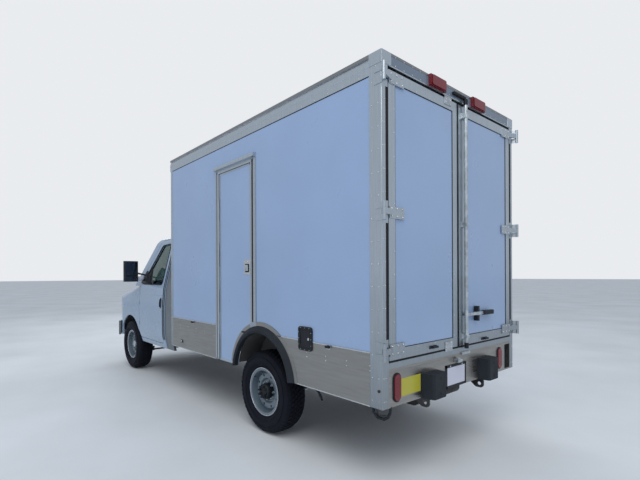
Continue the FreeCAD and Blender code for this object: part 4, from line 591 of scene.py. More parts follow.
def tread_mesh(y, x):
    """Blocks of the tread, in staggered rows, with shoulder lugs."""
    rows = ((-0.086, 0.034, 0.0), (-0.047, 0.030, 0.5), (-0.0155, 0.026, 0.0), (0.0155, 0.026, 0.5),
            (0.047, 0.030, 0.0), (0.086, 0.034, 0.5))
    count = 54
    half = 0.38 * 2 * math.pi / count
    parts = []
    for middle, width, turn in rows:
        shoulder = abs(middle) > 0.08
        top = TYRE_RADIUS - (0.0045 if shoulder else 0.0008)
        base = 0.352 if shoulder else 0.366
        for i in range(count):
            a = 2 * math.pi * (i + turn) / count
            verts = []
            for radius, shrink in ((base, 1.08), (top, 0.92)):
                for da, dy in rectangle((0, 0), (2 * half, width)):
                    outer = shoulder and dy * middle > 0
                    drop = 0.012 if outer and radius == top else 0.0
                    skew = 0.25 * half * (1 if dy > 0 else -1)
                    r = radius - drop
                    angle = a + da * shrink + skew
                    verts.append((x + r * math.cos(angle), y + middle + dy * shrink,
                                  AXLE_Z + r * math.sin(angle)))
            faces = [(0, 1, 2, 3), (7, 6, 5, 4), (0, 4, 5, 1), (1, 5, 6, 2), (2, 6, 7, 3), (3, 7, 4, 0)]
            parts.append((verts, faces))
    return merged(parts)


def hex_nut(centre, out):
    y = Vector((0, out, 0))
    base = lathe_mesh([(0.0, 0.0125), (0.016, 0.0125), (0.020, 0.009)], centre, y, 6)
    tip = lathe_mesh([(0.018, 0.007), (0.030, 0.006), (0.031, 0.004)], centre, y, 10)
    return merged([base, tip])


def road_wheel(axle, side):
    place = joint_at["roll_" + axle + "_" + side]
    out = 1 if side == "left" else -1
    body = axle + "_" + side + "_road_wheel"
    name = axle + "_" + side
    way = (0, out, 0)

    def nut_ring(radius, reach, turn):
        """Eight nuts on a circle round the axle."""
        angles = [2 * math.pi * i / 8 + turn for i in range(8)]
        return merged(hex_nut((place.x + radius * math.cos(a), place.y + out * (reach + 0.001),
                               AXLE_Z + radius * math.sin(a)), out) for a in angles)

    tyre = piece("tyre_carcass_" + name, tyre_mesh(place.y, place.x), "tyre_rubber", body, smooth=True)
    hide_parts("tyre_" + name)
    piece("tyre_tread_" + name, tread_mesh(place.y, place.x), "tyre_rubber", body)
    rings = merged(lathe_mesh([(0.1175, r - 0.003), (0.1215, r - 0.001), (0.1215, r + 0.001),
                               (0.1175, r + 0.003)], place, way, 96, ring=True) for r in (0.262, 0.322))
    piece("tyre_rings_" + name, rings, "tyre_rubber", body, smooth=True)
    piece("wheel_nuts_" + name, nut_ring(NUT_CIRCLE, NUT_SEAT, 0.0), "zinc_steel", body)
    if axle == "rear":
        tip = DISC_FACE + 0.046
        cap = [(NUT_SEAT, 0.0705), (tip - 0.014, 0.0705), (tip + 0.002, 0.066), (tip + 0.003, 0.030)]
        piece("hub_flange_nuts_" + name, nut_ring(HUB_NUT_CIRCLE, tip, 0.2), "black_plastic", body)
    else:
        tip = DISC_FACE + 0.018
        cap = [(NUT_SEAT, 0.0575), (tip - 0.010, 0.0565), (tip + 0.001, 0.050), (tip + 0.003, 0.020)]
    cap_mesh = lathe_mesh(cap + [(tip + 0.003, 0.0)], place, way, 48)
    material = "black_plastic" if axle == "rear" else "zinc_steel"
    piece("hub_cap_" + name, cap_mesh, material, body, smooth=True)
    # Painted highlight: the rim's outer lip is a real part, given bright steel so that it shows the light its edge
    # catches.
    lip = [(0.0940, 0.2225), (0.0965, 0.2215), (0.0965, 0.2155), (0.0925, 0.2125)]
    piece("rim_lip_highlight_" + name, lathe_mesh(lip, place, way, 96, ring=True), "bright_steel", body, smooth=True)
    stem = Vector((0.197 * math.cos(0.6), 0, 0.197 * math.sin(0.6)))
    valve = rod_mesh(place + stem + outward_by(out, 0.055), place + stem * 0.96 + outward_by(out, 0.088),
                     0.004, 10)
    piece("valve_stem_" + name, valve, "black_rubber", body, smooth=True)


# Cargo box

def side_fasteners():
    """Rivets along the roof rails, posts and skirts of both sides."""
    levels = steps(SKIRT_BOTTOM + 0.05, BOX_TOP - 0.2, 0.15)
    posts = [BOX_BACK + 0.03, BOX_BACK + 0.085, BOX_FRONT - 0.022, BOX_FRONT - 0.052]
    floor_first, floor_pitch, arch_back = -1.300, 0.2115, -0.60
    for side, out in SIDES:
        y = out * (BOX_SIDE + 0.003)
        rail = [(x, y, z) for z in (BOX_TOP - 0.132, BOX_TOP - 0.098)
                for x in steps(BOX_BACK + 0.05, BOX_FRONT - 0.05, 0.15)]
        screw_heads("rail_rivets_" + side, rail, (0, out, 0))
        screw_heads("post_rivets_" + side, [(x, y, z) for x in posts for z in levels], (0, out, 0))
        opening_end = 0.78 if side == "left" else 0.56
        floor = [(REAR_X + x, out * (BOX_SIDE + 0.004), z)
                 for x in (floor_first + floor_pitch * k for k in range(16))
                 for z in (0.813, 0.847) if not arch_back < x < opening_end]
        screw_heads("floor_rivets_" + side, floor, (0, out, 0), radius=0.0055)


def roof_trim():
    """Dark folded lip round the roof, painted shadow line under the side rails, and roof seams."""
    top = BOX_TOP - 0.0005
    strips = [((BOX_BACK + 0.004, out * (BOX_SIDE + 0.002), top - 0.024),
               (BOX_FRONT - 0.004, out * (BOX_SIDE + 0.005), top)) for out in (1, -1)]
    strips.append(((BOX_BACK - 0.002, 0.02 - BOX_SIDE, top - 0.018),
                   (BOX_BACK + 0.001, BOX_SIDE - 0.02, top)))
    boxes("roof_lip", strips, "trim_aluminium", bevel=0.0008)
    # Painted shadow: a black strip under each side rail stands in for the rail's shadow line.
    lines = [((BOX_BACK + 0.11, out * (BOX_SIDE + 0.0002), BOX_TOP - 0.150),
              (BOX_FRONT - 0.075, out * (BOX_SIDE + 0.002), BOX_TOP - 0.1445)) for out in (1, -1)]
    boxes("rail_shadow_line", lines, "seal_black")
    height = surface("box_panels", (0.5 * (BOX_BACK + BOX_FRONT), 0.3, 4.0), (0, 0, -1)).z
    places = steps(BOX_BACK + 0.55, BOX_FRONT - 0.4, 0.61)
    seams = [((x - 0.02, -0.93, height - 0.001), (x + 0.02, 0.93, height + 0.0015)) for x in places]
    boxes("roof_seams", seams, "rail_aluminium", bevel=0.0005)
    rivets = [(x + dx, y, height + 0.0012) for x in places for dx in (-0.012, 0.012)
              for y in steps(-0.9, 0.9, 0.1)]
    screw_heads("roof_rivets", rivets, (0, 0, 1))


def header_trim():
    """Recessed blue-grey face of the rear header between its corner caps."""
    rear_boxes("header_face", -0.0008, 0.001, [(-0.895, 2.868, 0.895, 2.9305)], "header_paint")
    back, low, top = BOX_BACK - 0.003, 2.862, BOX_TOP - 0.001
    caps = []
    for out in (1, -1):
        caps.append(((back, out * 0.900, low), (BOX_BACK + 0.001, out * (BOX_SIDE + 0.001), top)))
        caps.append(((back, out * (BOX_SIDE + 0.001), low),
                     (BOX_BACK + 0.105, out * (BOX_SIDE + 0.006), top)))
    boxes("header_corner_caps", caps, "frame_aluminium", bevel=0.002)


def skirt_trim():
    """Bright arris along the skirts' lower edge and a bead on their top edge."""
    half = math.sqrt(0.440 ** 2 - (SKIRT_TOP - ARCH_Z) ** 2)
    back = BOX_BACK + 0.103
    front = BOX_FRONT - 0.070
    door = DOOR_HIGH.x + 0.075
    for side, out, low_start, top_start in (("left", 1, door, door),
                                            ("right", -1, ARCH_X + 0.51, ARCH_X + half + 0.06)):
        spans = [(back, ARCH_X - 0.51, SKIRT_BOTTOM), (low_start, front, SKIRT_BOTTOM),
                 (back, ARCH_X - half - 0.06, SKIRT_TOP - 0.006), (top_start, front, SKIRT_TOP - 0.006)]
        side_boxes("skirt_beads_" + side, 0.0035, 0.0065, [(a, z, b, z + 0.008) for a, b, z in spans],
                   "bright_steel", bevel=0.001, out=out)


def door_arch_trim():
    """The flare's border where it crosses the side door."""
    inner, outer = 0.4795, 0.515
    back = DOOR_LOW.x + 0.001 - ARCH_X
    low = DOOR_LOW.z + 0.020 - ARCH_Z
    span = [math.pi / 2 * i / 48 for i in range(49)]
    rows = [[(ARCH_X + r * math.cos(a), BOX_SIDE + y, ARCH_Z + r * math.sin(a))
             for r, y in ((inner, -0.001), (inner, 0.0025), (outer, 0.0025), (outer, -0.001))]
            for a in span if inner * math.cos(a) > back and inner * math.sin(a) > low]
    piece("side_door_arch_border", strip(rows), "skirt_aluminium", "cargo_side_door")


def catch(name, place, out):
    """Small rubber door catch on a plate."""
    x, y, z = place
    plate = ((x - 0.022, y, z - 0.016), (x + 0.022, y + out * 0.003, z + 0.016))
    boxes(name + "_plate", [plate], "zinc_steel")
    middle = y + out * 0.014
    bar = rod_mesh((x - 0.020, middle, z + 0.004), (x + 0.020, middle, z + 0.004), 0.010, 12)
    foot = box_mesh((x - 0.014, y, z - 0.008), (x + 0.014, y + out * 0.016, z + 0.008))
    piece(name, merged([bar, foot]), "black_rubber", bevel=0.002)


def side_door_screws():
    """Screws of the piano hinge's two leaves."""
    x = joint_at["side_door_hinge"].x
    levels = steps(DOOR_LOW.z + 0.06, DOOR_HIGH.z - 0.1, 0.11)
    for name, body, place, y in (("hinge", "cargo_side_door", x - 0.015, BOX_SIDE + 0.0046),
                                 ("jamb", "chassis", x + 0.020, BOX_SIDE + 0.0105)):
        screw_heads("side_" + name + "_screws", [(place, y, z) for z in levels], (0, 1, 0), body,
                    radius=0.004, height=0.002)


def paddle_lock():
    """Pull lock of the side door: plate, well, blade and key."""
    body = "cargo_side_door"
    y = BOX_SIDE
    x0, x1 = max(REAR_X + 0.118, DOOR_LOW.x + 0.004), REAR_X + 0.232
    z0, z1 = 1.470, 1.613
    plate = rounded([(x0, z0), (x1, z0), (x1, z1), (x0, z1)], 0.012)
    piece("paddle_lock_plate", side_slab(plate, y - 0.001, 0.005), "bright_steel", body, 0.001)
    well = rounded([(x0 + 0.018, z0 + 0.022), (x1 - 0.018, z0 + 0.022), (x1 - 0.018, z1 - 0.040),
                    (x0 + 0.018, z1 - 0.040)], 0.010)
    piece("paddle_lock_well", side_slab(well, y + 0.0035, 0.0015), "seal_black", body)
    blade = rounded([(x0 + 0.026, z0 + 0.034), (x1 - 0.026, z0 + 0.034), (x1 - 0.030, z1 - 0.050),
                     (x0 + 0.030, z1 - 0.050)], 0.008)
    piece("paddle_lock_blade", side_slab(blade, y + 0.0045, 0.010), "zinc_steel", body, 0.002)
    middle = (x0 + x1) / 2
    key = rod_mesh((middle, y, z1 - 0.020), (middle, y + 0.008, z1 - 0.020), 0.009, 20)
    piece("paddle_lock_key", key, "zinc_steel", body, 0.001)


def side_door_fittings():
    """Hook, seals and edge strips of the side door, and the catches on the walls."""
    body = "cargo_side_door"
    y = BOX_SIDE
    hook = [((REAR_X + 0.208, y - 0.001, 0.905), (REAR_X + 0.268, y + 0.008, 0.921)),
            ((REAR_X + 0.211, y + 0.006, 0.9075), (REAR_X + 0.265, y + 0.018, 0.9185))]
    boxes("side_door_hook", hook, "black_rubber", body, 0.003)
    catch("side_wall_catch", (REAR_X + 1.314, y + 0.004, 0.914), 1)
    catch("rear_wall_catch", (REAR_X - 0.908, y + 0.004, 0.920), 1)
    catch("right_wall_catch", (REAR_X - 0.908, -y - 0.004, 0.920), -1)
    back, low, front, top = DOOR_LOW.x, DOOR_LOW.z, DOOR_HIGH.x, DOOR_HIGH.z
    hinge = joint_at["side_door_hinge"].x
    seals = [(back - 0.005, low + 0.45, back - 0.001, top),
             (back - 0.005, top + 0.001, front + 0.004, top + 0.005)]
    side_boxes("side_door_seal", -0.020, -0.004, seals, "seal_black")
    edges = [(back, 0.99, back + 0.014, top), (back, top - 0.014, hinge - 0.030, top),
             (REAR_X + 0.44, low, hinge - 0.004, low + 0.018)]
    side_boxes("side_door_edges", -0.001, 0.002, edges, "rail_aluminium", body, 0.0005)


def side_hinge():
    """Aluminium leaves and knuckles of the side door's piano hinge, over the CAD's plain ones."""
    x, y = joint_at["side_door_hinge"].xy
    low, pitch = 0.595, 0.240
    door = "cargo_side_door"
    side_boxes("side_hinge_leaf", -0.0005, 0.0048, [(x - 0.027, low, x - 0.0068, DOOR_HIGH.z - 0.02)],
               "rail_aluminium", door, 0.0008)
    for name, body, numbers, near, base in (("hinge", door, (1, 3, 5), -0.0065, 0.004),
                                            ("jamb", "chassis", (0, 2, 4, 6), -0.0050, 0.0065)):
        parts = []
        for i in numbers:
            a, b = low + pitch * i + 0.0005, low + pitch * i + pitch - 0.0015
            parts.append(rod_mesh((x, y, a), (x, y, b), 0.0064, 20))
            parts.append(box_mesh((x + near, BOX_SIDE + base, a), (x - 0.001, y, b)))
        piece("side_" + name + "_knuckles", merged(parts), "rail_aluminium", body)
    side_boxes("side_jamb_leaf", 0.005, 0.0106, [(x + 0.0072, low, x + 0.0335, DOOR_HIGH.z + 0.004)],
               "rail_aluminium", bevel=0.0008)


def arch_top(x):
    """Height of the flare border's outer edge on the side wall."""
    return ARCH_Z + math.sqrt(0.519 ** 2 - min(abs(x - ARCH_X), 0.519) ** 2)


def side_jambs():
    """Raised strips of the side door frame and the rubber between them."""
    y = BOX_SIDE + 0.005
    light = ((0.034, 0.070, 0.0036), (0.098, 0.1165, 0.0030), (0.750, 0.7725, 0.0036))
    dark = ((0.0745, 0.0950, 0.0018), (0.7355, 0.7485, 0.0018))
    for name, rows, material, bevel in (("strips", light, "rail_aluminium", 0.0008),
                                        ("rubber", dark, "seal_black", 0.0)):
        ends = []
        for a, b, height in rows:
            x0, x1 = REAR_X + a, REAR_X + b
            low = max(SKIRT_BOTTOM + 0.02, arch_top(x0), arch_top(x1) if x1 < DOOR_HIGH.x else 0.0)
            ends.append(((x0, y, low), (x1, y + height, DOOR_HIGH.z + 0.030)))
        boxes("side_jamb_" + name, ends, material, bevel=bevel)


def fuel_door():
    """Lid, its hinge and its latch inside the filler's frame."""
    low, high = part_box("fuel_filler")
    y = high.y - 0.004
    centre = (low + high) / 2
    size = (high.x - low.x - 0.044, high.z - low.z - 0.044)
    lid = rounded(rectangle((centre.x, centre.z), size), 0.010)
    piece("fuel_door_lid", side_slab(lid, y - 0.001, 0.0035), "black_plastic", bevel=0.0012)
    x = high.x - 0.024
    hinge = rod_mesh((x, y + 0.004, centre.z - 0.045), (x, y + 0.004, centre.z + 0.045), 0.004, 12)
    piece("fuel_door_hinge", hinge, "black_plastic", smooth=True)
    latch = knob_mesh((low.x + 0.040, y + 0.002, centre.z), (0, 1, 0), 0.011, 0.003, 0.004, 0.009, 24)
    piece("fuel_door_latch", latch, "zinc_steel", smooth=True)
    screws = [(x, high.y, z) for z in (low.z + 0.009, high.z - 0.009)
              for x in (low.x + 0.030, centre.x, high.x - 0.030)]
    screws += [(x, high.y, z) for x in (low.x + 0.009, high.x - 0.009)
               for z in (low.z + 0.045, centre.z, high.z - 0.045)]
    screw_heads("fuel_door_screws", screws, (0, 1, 0), material="zinc_steel", radius=0.0032)


def skirt_fittings():
    """Reflector on its bracket ahead of the side door, the strap below the skirt and the corner loop."""
    y = BOX_SIDE + 0.004
    x, z = REAR_X + 1.612, 0.657
    bracket = rounded(rectangle((x, z), (0.052, 0.034)), 0.006)
    piece("skirt_bracket", side_slab(bracket, y - 0.001, 0.006), "black_plastic", bevel=0.001)
    reflector = knob_mesh((x + 0.004, y + 0.005, z + 0.002), (0, 1, 0), 0.011, 0.004, 0.006, 0.007, 24)
    piece("skirt_reflector", reflector, "bright_steel", smooth=True)
    strap = [(-0.700, 0.975, 0.574), (-0.730, 0.975, 0.566), (-0.760, 0.972, 0.553), (-0.775, 0.968, 0.532),
             (-0.784, 0.962, 0.505), (-0.790, 0.958, 0.484)]
    line = [(REAR_X + a, b, c) for a, b, c in strap]
    piece("skirt_strap", tube_mesh(line, 0.010), "black_rubber", smooth=True)
    loop = [(-1.310, 0.990, 0.576), (-1.318, 0.986, 0.535), (-1.340, 0.972, 0.502), (-1.368, 0.948, 0.490),
            (-1.386, 0.926, 0.502), (-1.394, 0.912, 0.535), (-1.395, 0.908, 0.576)]
    line = denser([(REAR_X + a, b, c) for a, b, c in loop], 0.012, closed=False)
    piece("corner_loop_sleeve", tube_mesh(line, 0.0095), "black_rubber", smooth=True)
    screw_heads("post_bolt", [(REAR_X - 1.373, BOX_SIDE + 0.003, 0.689)], (0, 1, 0), material="axle_iron",
                radius=0.011, height=0.008)


# Rear doors

def rear_door_trim():
    """Bead round each rear panel and the screws of its frame."""
    x = BOX_BACK
    t = 0.004
    for side in ("left", "right"):
        body = side + "_rear_door"
        low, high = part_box("rear_door_" + side)
        seals = [((x + 0.001, a, c), (x + 0.006, b, d))
                 for a, b, c, d in ((low.y, low.y + t, low.z, high.z), (high.y - t, high.y, low.z, high.z),
                                    (low.y, high.y, low.z, low.z + t), (low.y, high.y, high.z - t, high.z))]
        boxes("rear_panel_bead_" + side, seals, "seal_black", body)
        screws = [(x, y, z) for y in (low.y - 0.012, high.y + 0.012)
                  for z in steps(low.z + 0.02, high.z - 0.02, 0.16)]
        screws += [(x, y, z) for z in (low.z - 0.014, high.z + 0.014)
                   for y in steps(low.y + 0.04, high.y - 0.04, 0.2)]
        screw_heads("rear_frame_screws_" + side, screws, (-1, 0, 0), body)


def rear_portal_fasteners():
    """Rivets, seals and keepers round the rear opening."""
    places = [(BOX_BACK, y, z) for y in (-0.989, -0.9685, 0.9685, 0.989) for z in steps(0.62, 2.78, 0.15)]
    places += [(BOX_BACK, y, z) for z in (2.876, 2.934) for y in steps(-0.95, 0.95, 0.1)
               if abs(y - 0.338) > 0.12 and abs(y + 0.298) > 0.12]
    screw_heads("portal_rivets", places, (-1, 0, 0))
    rear_boxes("portal_lower_seal", 0.002, 0.03, [(-0.93, 0.871, 0.93, 0.884)], "seal_black")
    stops = [0.885] + [z + dz for z in HINGE_HEIGHTS for dz in (-0.075, 0.075)] + [2.836]
    seals = [(y, z0, y + 0.028, z1) for y in (-0.962, 0.934) for z0, z1 in zip(stops[0::2], stops[1::2])
             if z1 > z0 + 0.001]
    rear_boxes("portal_side_seals", -0.0012, 0.001, seals, "seal_black")
    rear_boxes("header_keeper", -0.020, 0.001, [(-0.080, 2.890, 0.109, 2.912)], "seal_black", bevel=0.003)
    rear_boxes("fascia_keeper", -0.012, 0.001, [(-0.148, 0.810, -0.016, 0.832)], "zinc_steel", bevel=0.002)
    pocket = [(-0.927, 0.583, -0.819, 0.805)]
    rear_boxes("fascia_pocket_back", 0.034, 0.041, pocket, "black_rubber", bevel=0.001)


def rear_lamps():
    """Grommets and ribs of the tail lamps, and cases of the clearance lamps."""
    z0, z1 = 0.606, 0.786
    for name, y in (("left", 0.850), ("right", -0.705)):
        outline = rounded([(y - 0.044, z0 - 0.010), (y + 0.044, z0 - 0.010), (y + 0.044, z1 + 0.010),
                           (y - 0.044, z1 + 0.010)], 0.043, 12)
        piece("tail_lamp_grommet_" + name, cross_slab(outline, BOX_BACK - 0.006, 0.006), "black_rubber",
              bevel=0.002)
        ribs = [(y - 0.026, z, y + 0.026, z + 0.003) for z in steps(z0 + 0.03, z1 - 0.03, 0.01)]
        rear_boxes("tail_lamp_ribs_" + name, -0.0135, -0.011, ribs, "red_lens")
    for name, y in (("left", 0.338), ("right", -0.298)):
        case = [(y - 0.104, 2.866, y + 0.104, 2.871), (y - 0.104, 2.945, y + 0.104, 2.949),
                (y - 0.108, 2.866, y - 0.096, 2.949), (y + 0.096, 2.866, y + 0.108, 2.949)]
        rear_boxes("clearance_lamp_case_" + name, -0.022, 0.0, case, "red_lens", bevel=0.001)


def rear_plates():
    """Blank licence plate with its frame and lamp, and the blank sticker."""
    x = BOX_BACK
    frame_bars = [(-0.087, 0.572, 0.224, 0.592), (-0.087, 0.732, 0.224, 0.752),
                  (-0.087, 0.572, -0.067, 0.752), (0.204, 0.572, 0.224, 0.752)]
    rear_boxes("licence_plate_frame", -0.006, 0.0, frame_bars, "black_plastic", bevel=0.001)
    rear_boxes("licence_plate_blank", -0.004, -0.001, [(-0.084, 0.578, 0.221, 0.748)], "plate_white")
    screws = [(x - 0.006, 0.0685 + s * 0.089, 0.741) for s in (-1, 1)]
    screw_heads("licence_plate_screws", screws, (-1, 0, 0), material="zinc_steel", radius=0.006)
    lamp = merged([box_mesh((x - 0.040, 0.035, 0.768), (x, 0.100, 0.792)),
                   rod_mesh((x - 0.020, 0.050, 0.792), (x - 0.020, 0.085, 0.792), 0.012, 16)])
    piece("licence_plate_lamp", lamp, "zinc_steel", bevel=0.002)
    rear_boxes("licence_plate_lens", -0.034, -0.008, [(0.042, 0.764, 0.093, 0.769)], "clear_lens")
    rear_boxes("speed_sticker_blank", -0.0012, 0.0, [(0.566, 0.624, 0.802, 0.747)], "yellow")


def dock_bumper_holes():
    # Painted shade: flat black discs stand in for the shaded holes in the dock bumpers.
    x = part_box("dock_bumpers")[0].x
    profile = [(0, 0.013), (0.0006, 0.013), (0.0006, 0.0)]
    for name, y in (("left", 0.446), ("right", -0.406)):
        holes = merged(lathe_mesh(profile, (x + 0.0005, y, z), (-1, 0, 0), 20) for z in (0.600, 0.710))
        piece("dock_bumper_holes_" + name, holes, "seal_black")


def lock_gear():
    """Guides, grip and cams of the rear lock."""
    body = "right_rear_door"
    x = BOX_BACK
    handle = LOCK_HANDLE_Z
    screws = [(x - 0.006, -0.060 + s * 0.028, z + t * 0.013) for z in GUIDE_HEIGHTS for s in (-1, 1)
              for t in (-1, 1)]
    screw_heads("lock_guide_bolts", screws, (-1, 0, 0), body)
    plates = [(-0.096, z - 0.024, -0.024, z + 0.024) for z in GUIDE_HEIGHTS]
    rear_boxes("lock_guide_plates", -0.006, 0.001, plates, "zinc_steel", body, 0.001)
    saddles = [(-0.079, z - 0.015, -0.041, z + 0.015) for z in GUIDE_HEIGHTS]
    rear_boxes("lock_saddles", -0.0405, -0.005, saddles, "zinc_steel", body, 0.003)
    rear_boxes("lock_grip", -0.042, -0.008, [(-0.519, handle - 0.019, -0.345, handle + 0.019)],
               "black_rubber", body, 0.007)
    rear_boxes("lock_latch", -0.038, -0.001,
               [(-0.260, handle + dz, -0.230, handle + dz + 0.047) for dz in (-0.062, 0.015)],
               "black_plastic", body, 0.003)
    low, high = (end.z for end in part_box("lock_rod"))
    cams = merged(rod_mesh((x - 0.024, -0.060, a), (x - 0.024, -0.060, b), 0.0168, 24)
                  for a, b in ((low - 0.001, low + 0.045), (high - 0.045, high + 0.001)))
    piece("lock_cams", cams, "black_plastic", body, 0.001)


def rear_door_fittings():
    """Hinge bolts and hooks of both rear doors, and the bump plates of the left one."""
    x = BOX_BACK
    for side, out in SIDES:
        straps = [(x - 0.007, out * (0.932 - 0.170 * k), z + dz) for z in HINGE_HEIGHTS
                  for k in (0.16, 0.52, 0.88) for dz in (-0.026, 0.026)]
        screw_heads("hinge_strap_bolts_" + side, straps, (-1, 0, 0), side + "_rear_door", radius=0.0075,
                    height=0.006)
    left = "left_rear_door"
    plates = [(0.125, 0.862, 0.229, 0.939), (0.125, 2.787, 0.229, 2.852)]
    rear_boxes("door_bump_plates", -0.005, -0.0005, plates, "zinc_steel", left, 0.001)
    bolts = [(x - 0.005, y, z) for y in (0.145, 0.209) for z in (0.892, 0.925, 2.800, 2.826)]
    screw_heads("bump_plate_bolts", bolts, (-1, 0, 0), left, radius=0.006, height=0.005)
    for side, y, z in (("left", 0.399, 0.920), ("right", -0.415, 0.905)):
        hook = merged([box_mesh((x - 0.003, y - 0.05, z - 0.012), (x + 0.001, y + 0.05, z + 0.012)),
                       rod_mesh((x - 0.014, y - 0.045, z), (x - 0.014, y + 0.02, z), 0.009, 12),
                       box_mesh((x - 0.014, y - 0.008, z - 0.007), (x - 0.002, y + 0.008, z + 0.007))])
        piece("rear_door_hook_" + side, hook, "black_rubber", side + "_rear_door", 0.002)


# Cab

CAB_WINDOW = [(-0.470, 1.345, 0.030), (-0.545, 1.435, 0.0), (-0.925, 1.890, 0.070), (-1.200, 1.904, 0.050),
              (-1.200, 1.345, 0.040)]
SCREEN = [(0.855, 1.385, 0.040), (0.715, 1.975, 0.060), (-0.715, 1.975, 0.060), (-0.855, 1.385, 0.040)]


def panel_creases():
    """Low pressed ridges along the cab doors."""
    for side, out in SIDES:
        for level, z in (("upper", 1.195), ("lower", 0.825)):
            points = [on_side("cab_door_" + side, FRONT_X + x, z, out) - outward_by(out, 0.004)
                      for x in steps(-1.255, -0.412, 0.04)]
            piece("door_crease_" + level + "_" + side, tube_mesh(points, 0.0065, 10), "body_paint",
                  side + "_cab_door", smooth=True)


def window_sails():
    """Black sail panels that carry the mirrors at the front corner of the door windows."""
    corners = [(-0.455, 1.337, 0.008), (-0.745, 1.337, 0.020), (-0.728, 1.470, 0.060),
               (-0.694, 1.606, 0.010)]
    line = denser(rounded([(FRONT_X + a, b, r) for a, b, r in corners]), 0.03)
    for side, out in SIDES:
        points = []
        for a, b in line:
            hits = []
            for node in ("cab_door_" + side, "cab_door_glass_" + side):
                try:
                    hits.append(on_side(node, a, b, out))
                except ValueError:
                    pass
            points.append(max(hits, key=lambda p: abs(p.y)))
        piece("window_sail_" + side, applied(points, (0, out, 0), 0.006), "black_plastic",
              side + "_cab_door", 0.0015)


def window_seals():
    """Rubber beads round the door windows and the windscreen."""
    line = denser(grown(rounded([(FRONT_X + a, b, r) for a, b, r in CAB_WINDOW]), 0.006), 0.03)
    for side, out in SIDES:
        points = [on_side("cab_door_" + side, a, b, out) for a, b in line]
        piece("door_window_seal_" + side, tube_mesh(points, 0.0065, 8, closed=True), "seal_black",
              side + "_cab_door", smooth=True)
    line = denser(grown(rounded(SCREEN), 0.008), 0.04)
    points = [on_front("cab_shell", a, b) for a, b in line]
    piece("windscreen_seal", tube_mesh(points, 0.009, 8, closed=True), "seal_black", smooth=True)


def wipers():
    """Blades on the glass with their arms from the cowl; y0 is the end over the pivot."""
    lift = Vector((0.012, 0, 0.006))
    for side, y0, y1 in (("left", 0.62, 0.06), ("right", -0.04, -0.60)):
        line = [on_front("windscreen", y0 + (y1 - y0) * t, 1.425 + 0.045 * math.sin(math.pi * t) + 0.02 * t)
                + lift for t in steps(0.0, 1.0, 0.08)]
        root = on_front("cab_shell", y0 - (y1 - y0) * 0.05, 1.352) + Vector((0.010, 0, 0))
        tip = line[len(line) // 2] + Vector((0.010, 0, 0.004))
        bend = root * 0.7 + tip * 0.3 + Vector((0.014, 0, 0.008))
        boss = knob_mesh(root, (0.75, 0, 0.65), 0.018, 0.006, 0.012, 0.010, 20, -0.012)
        parts = [tube_mesh(line, 0.005, 8), tube_mesh([root, bend, tip], 0.006, 8), boss]
        piece("wiper_" + side, merged(parts), "black_plastic", smooth=True)


def cab_edge_lines():
    """Painted shadow: black strips on the cab's side stand in for the shaded gap behind the cab doors and the
    shaded gap along the cab's rear edge.
    """
    for side, out in SIDES:
        deep, high = outward_by(out, -0.002), outward_by(out, 0.004)
        for name, x0, x1 in (("door", -1.296, -1.2775), ("rear", -1.3385, -1.322)):
            rows = []
            for z in steps(0.60, 1.90, 0.02):
                a, b = (on_side("cab_shell", FRONT_X + x, z, out) for x in (x0, x1))
                rows.append([a + deep, a + high, b + high, b + deep])
            piece("cab_%s_line_%s" % (name, side), strip(rows), "seal_black")


def door_handles():
    """Handle, its foot and its lock on each cab door."""
    x = FRONT_X - 1.216
    for side, out in SIDES:
        body = side + "_cab_door"
        node = "cab_door_" + side
        back = rounded(rectangle((x, 1.092), (0.034, 0.142)), 0.012)
        side_plate("door_handle_plate_" + side, node, back, out, 0.003, body, "black_plastic", 0.001)
        top = on_side(node, x, 1.148, out) + outward_by(out, 0.004)
        low = on_side(node, x, 1.040, out) + outward_by(out, 0.004)
        away = outward_by(out, 0.013)
        drop = Vector((0, 0, 0.010))
        grip = [top, top + away * 0.8 - drop, (top + low) / 2 + away, low + away * 0.8 + drop, low]
        piece("door_handle_grip_" + side, tube_mesh(grip, 0.008), "black_plastic", body, smooth=True)
        foot = rounded(rectangle((x, 1.008), (0.032, 0.014)), 0.005)
        side_plate("door_handle_foot_" + side, node, foot, out, 0.005, body, "bright_steel", 0.001)
        lock = on_side(node, x, 0.978, out)
        barrel = knob_mesh(lock, (0, out, 0), 0.012, 0.003, 0.005, 0.009, 24, -0.002)
        piece("door_lock_" + side, barrel, "bright_steel", body, smooth=True)
        slot = box_mesh(lock + Vector((-0.001, out * 0.0048, -0.005)),
                        lock + Vector((0.001, out * 0.0058, 0.005)))
        piece("door_key_slot_" + side, slot, "seal_black", body)


def mirror_details():
    """Glasses in the heads' recesses and covers on the arms."""
    rear = FRONT_X - 0.560
    arm = FRONT_X - 0.500
    for side, out in SIDES:
        body = side + "_cab_door"
        for name, z0, z1 in (("main", 1.462, 1.680), ("convex", 1.378, 1.462)):
            outline = rounded(rectangle((out * 1.170, (z0 + z1) / 2), (0.168, z1 - z0 - 0.018)), 0.008)
            glass_face = cross_slab(outline, rear + 0.003, 0.002)
            piece("mirror_glass_" + name + "_" + side, glass_face, "mirror_glass", body, 0.0008)
        for name, z, half, high, material in (("lower", 1.425, 0.052, 0.036, "plate_white"),
                                              ("upper", 1.491, 0.036, 0.010, "bright_steel")):
            arc = [(half * math.sin(t), high * math.cos(t)) for t in steps(-1.5708, 1.5708, 0.2618)]
            profile = [(-half, 0.0)] + arc[1:-1] + [(half, 0.0)]
            verts, faces = lathe_mesh(profile, (arm, out * 1.020, z), (0, out, 0), 24)
            flat = [(arm + (v.x - arm) * 0.6, v.y, v.z) for v in verts]
            piece("mirror_arm_cover_" + name + "_" + side, (flat, faces), material, body, smooth=True)


def lamp_point(y, z):
    return on_front("head_lamps", y, z)


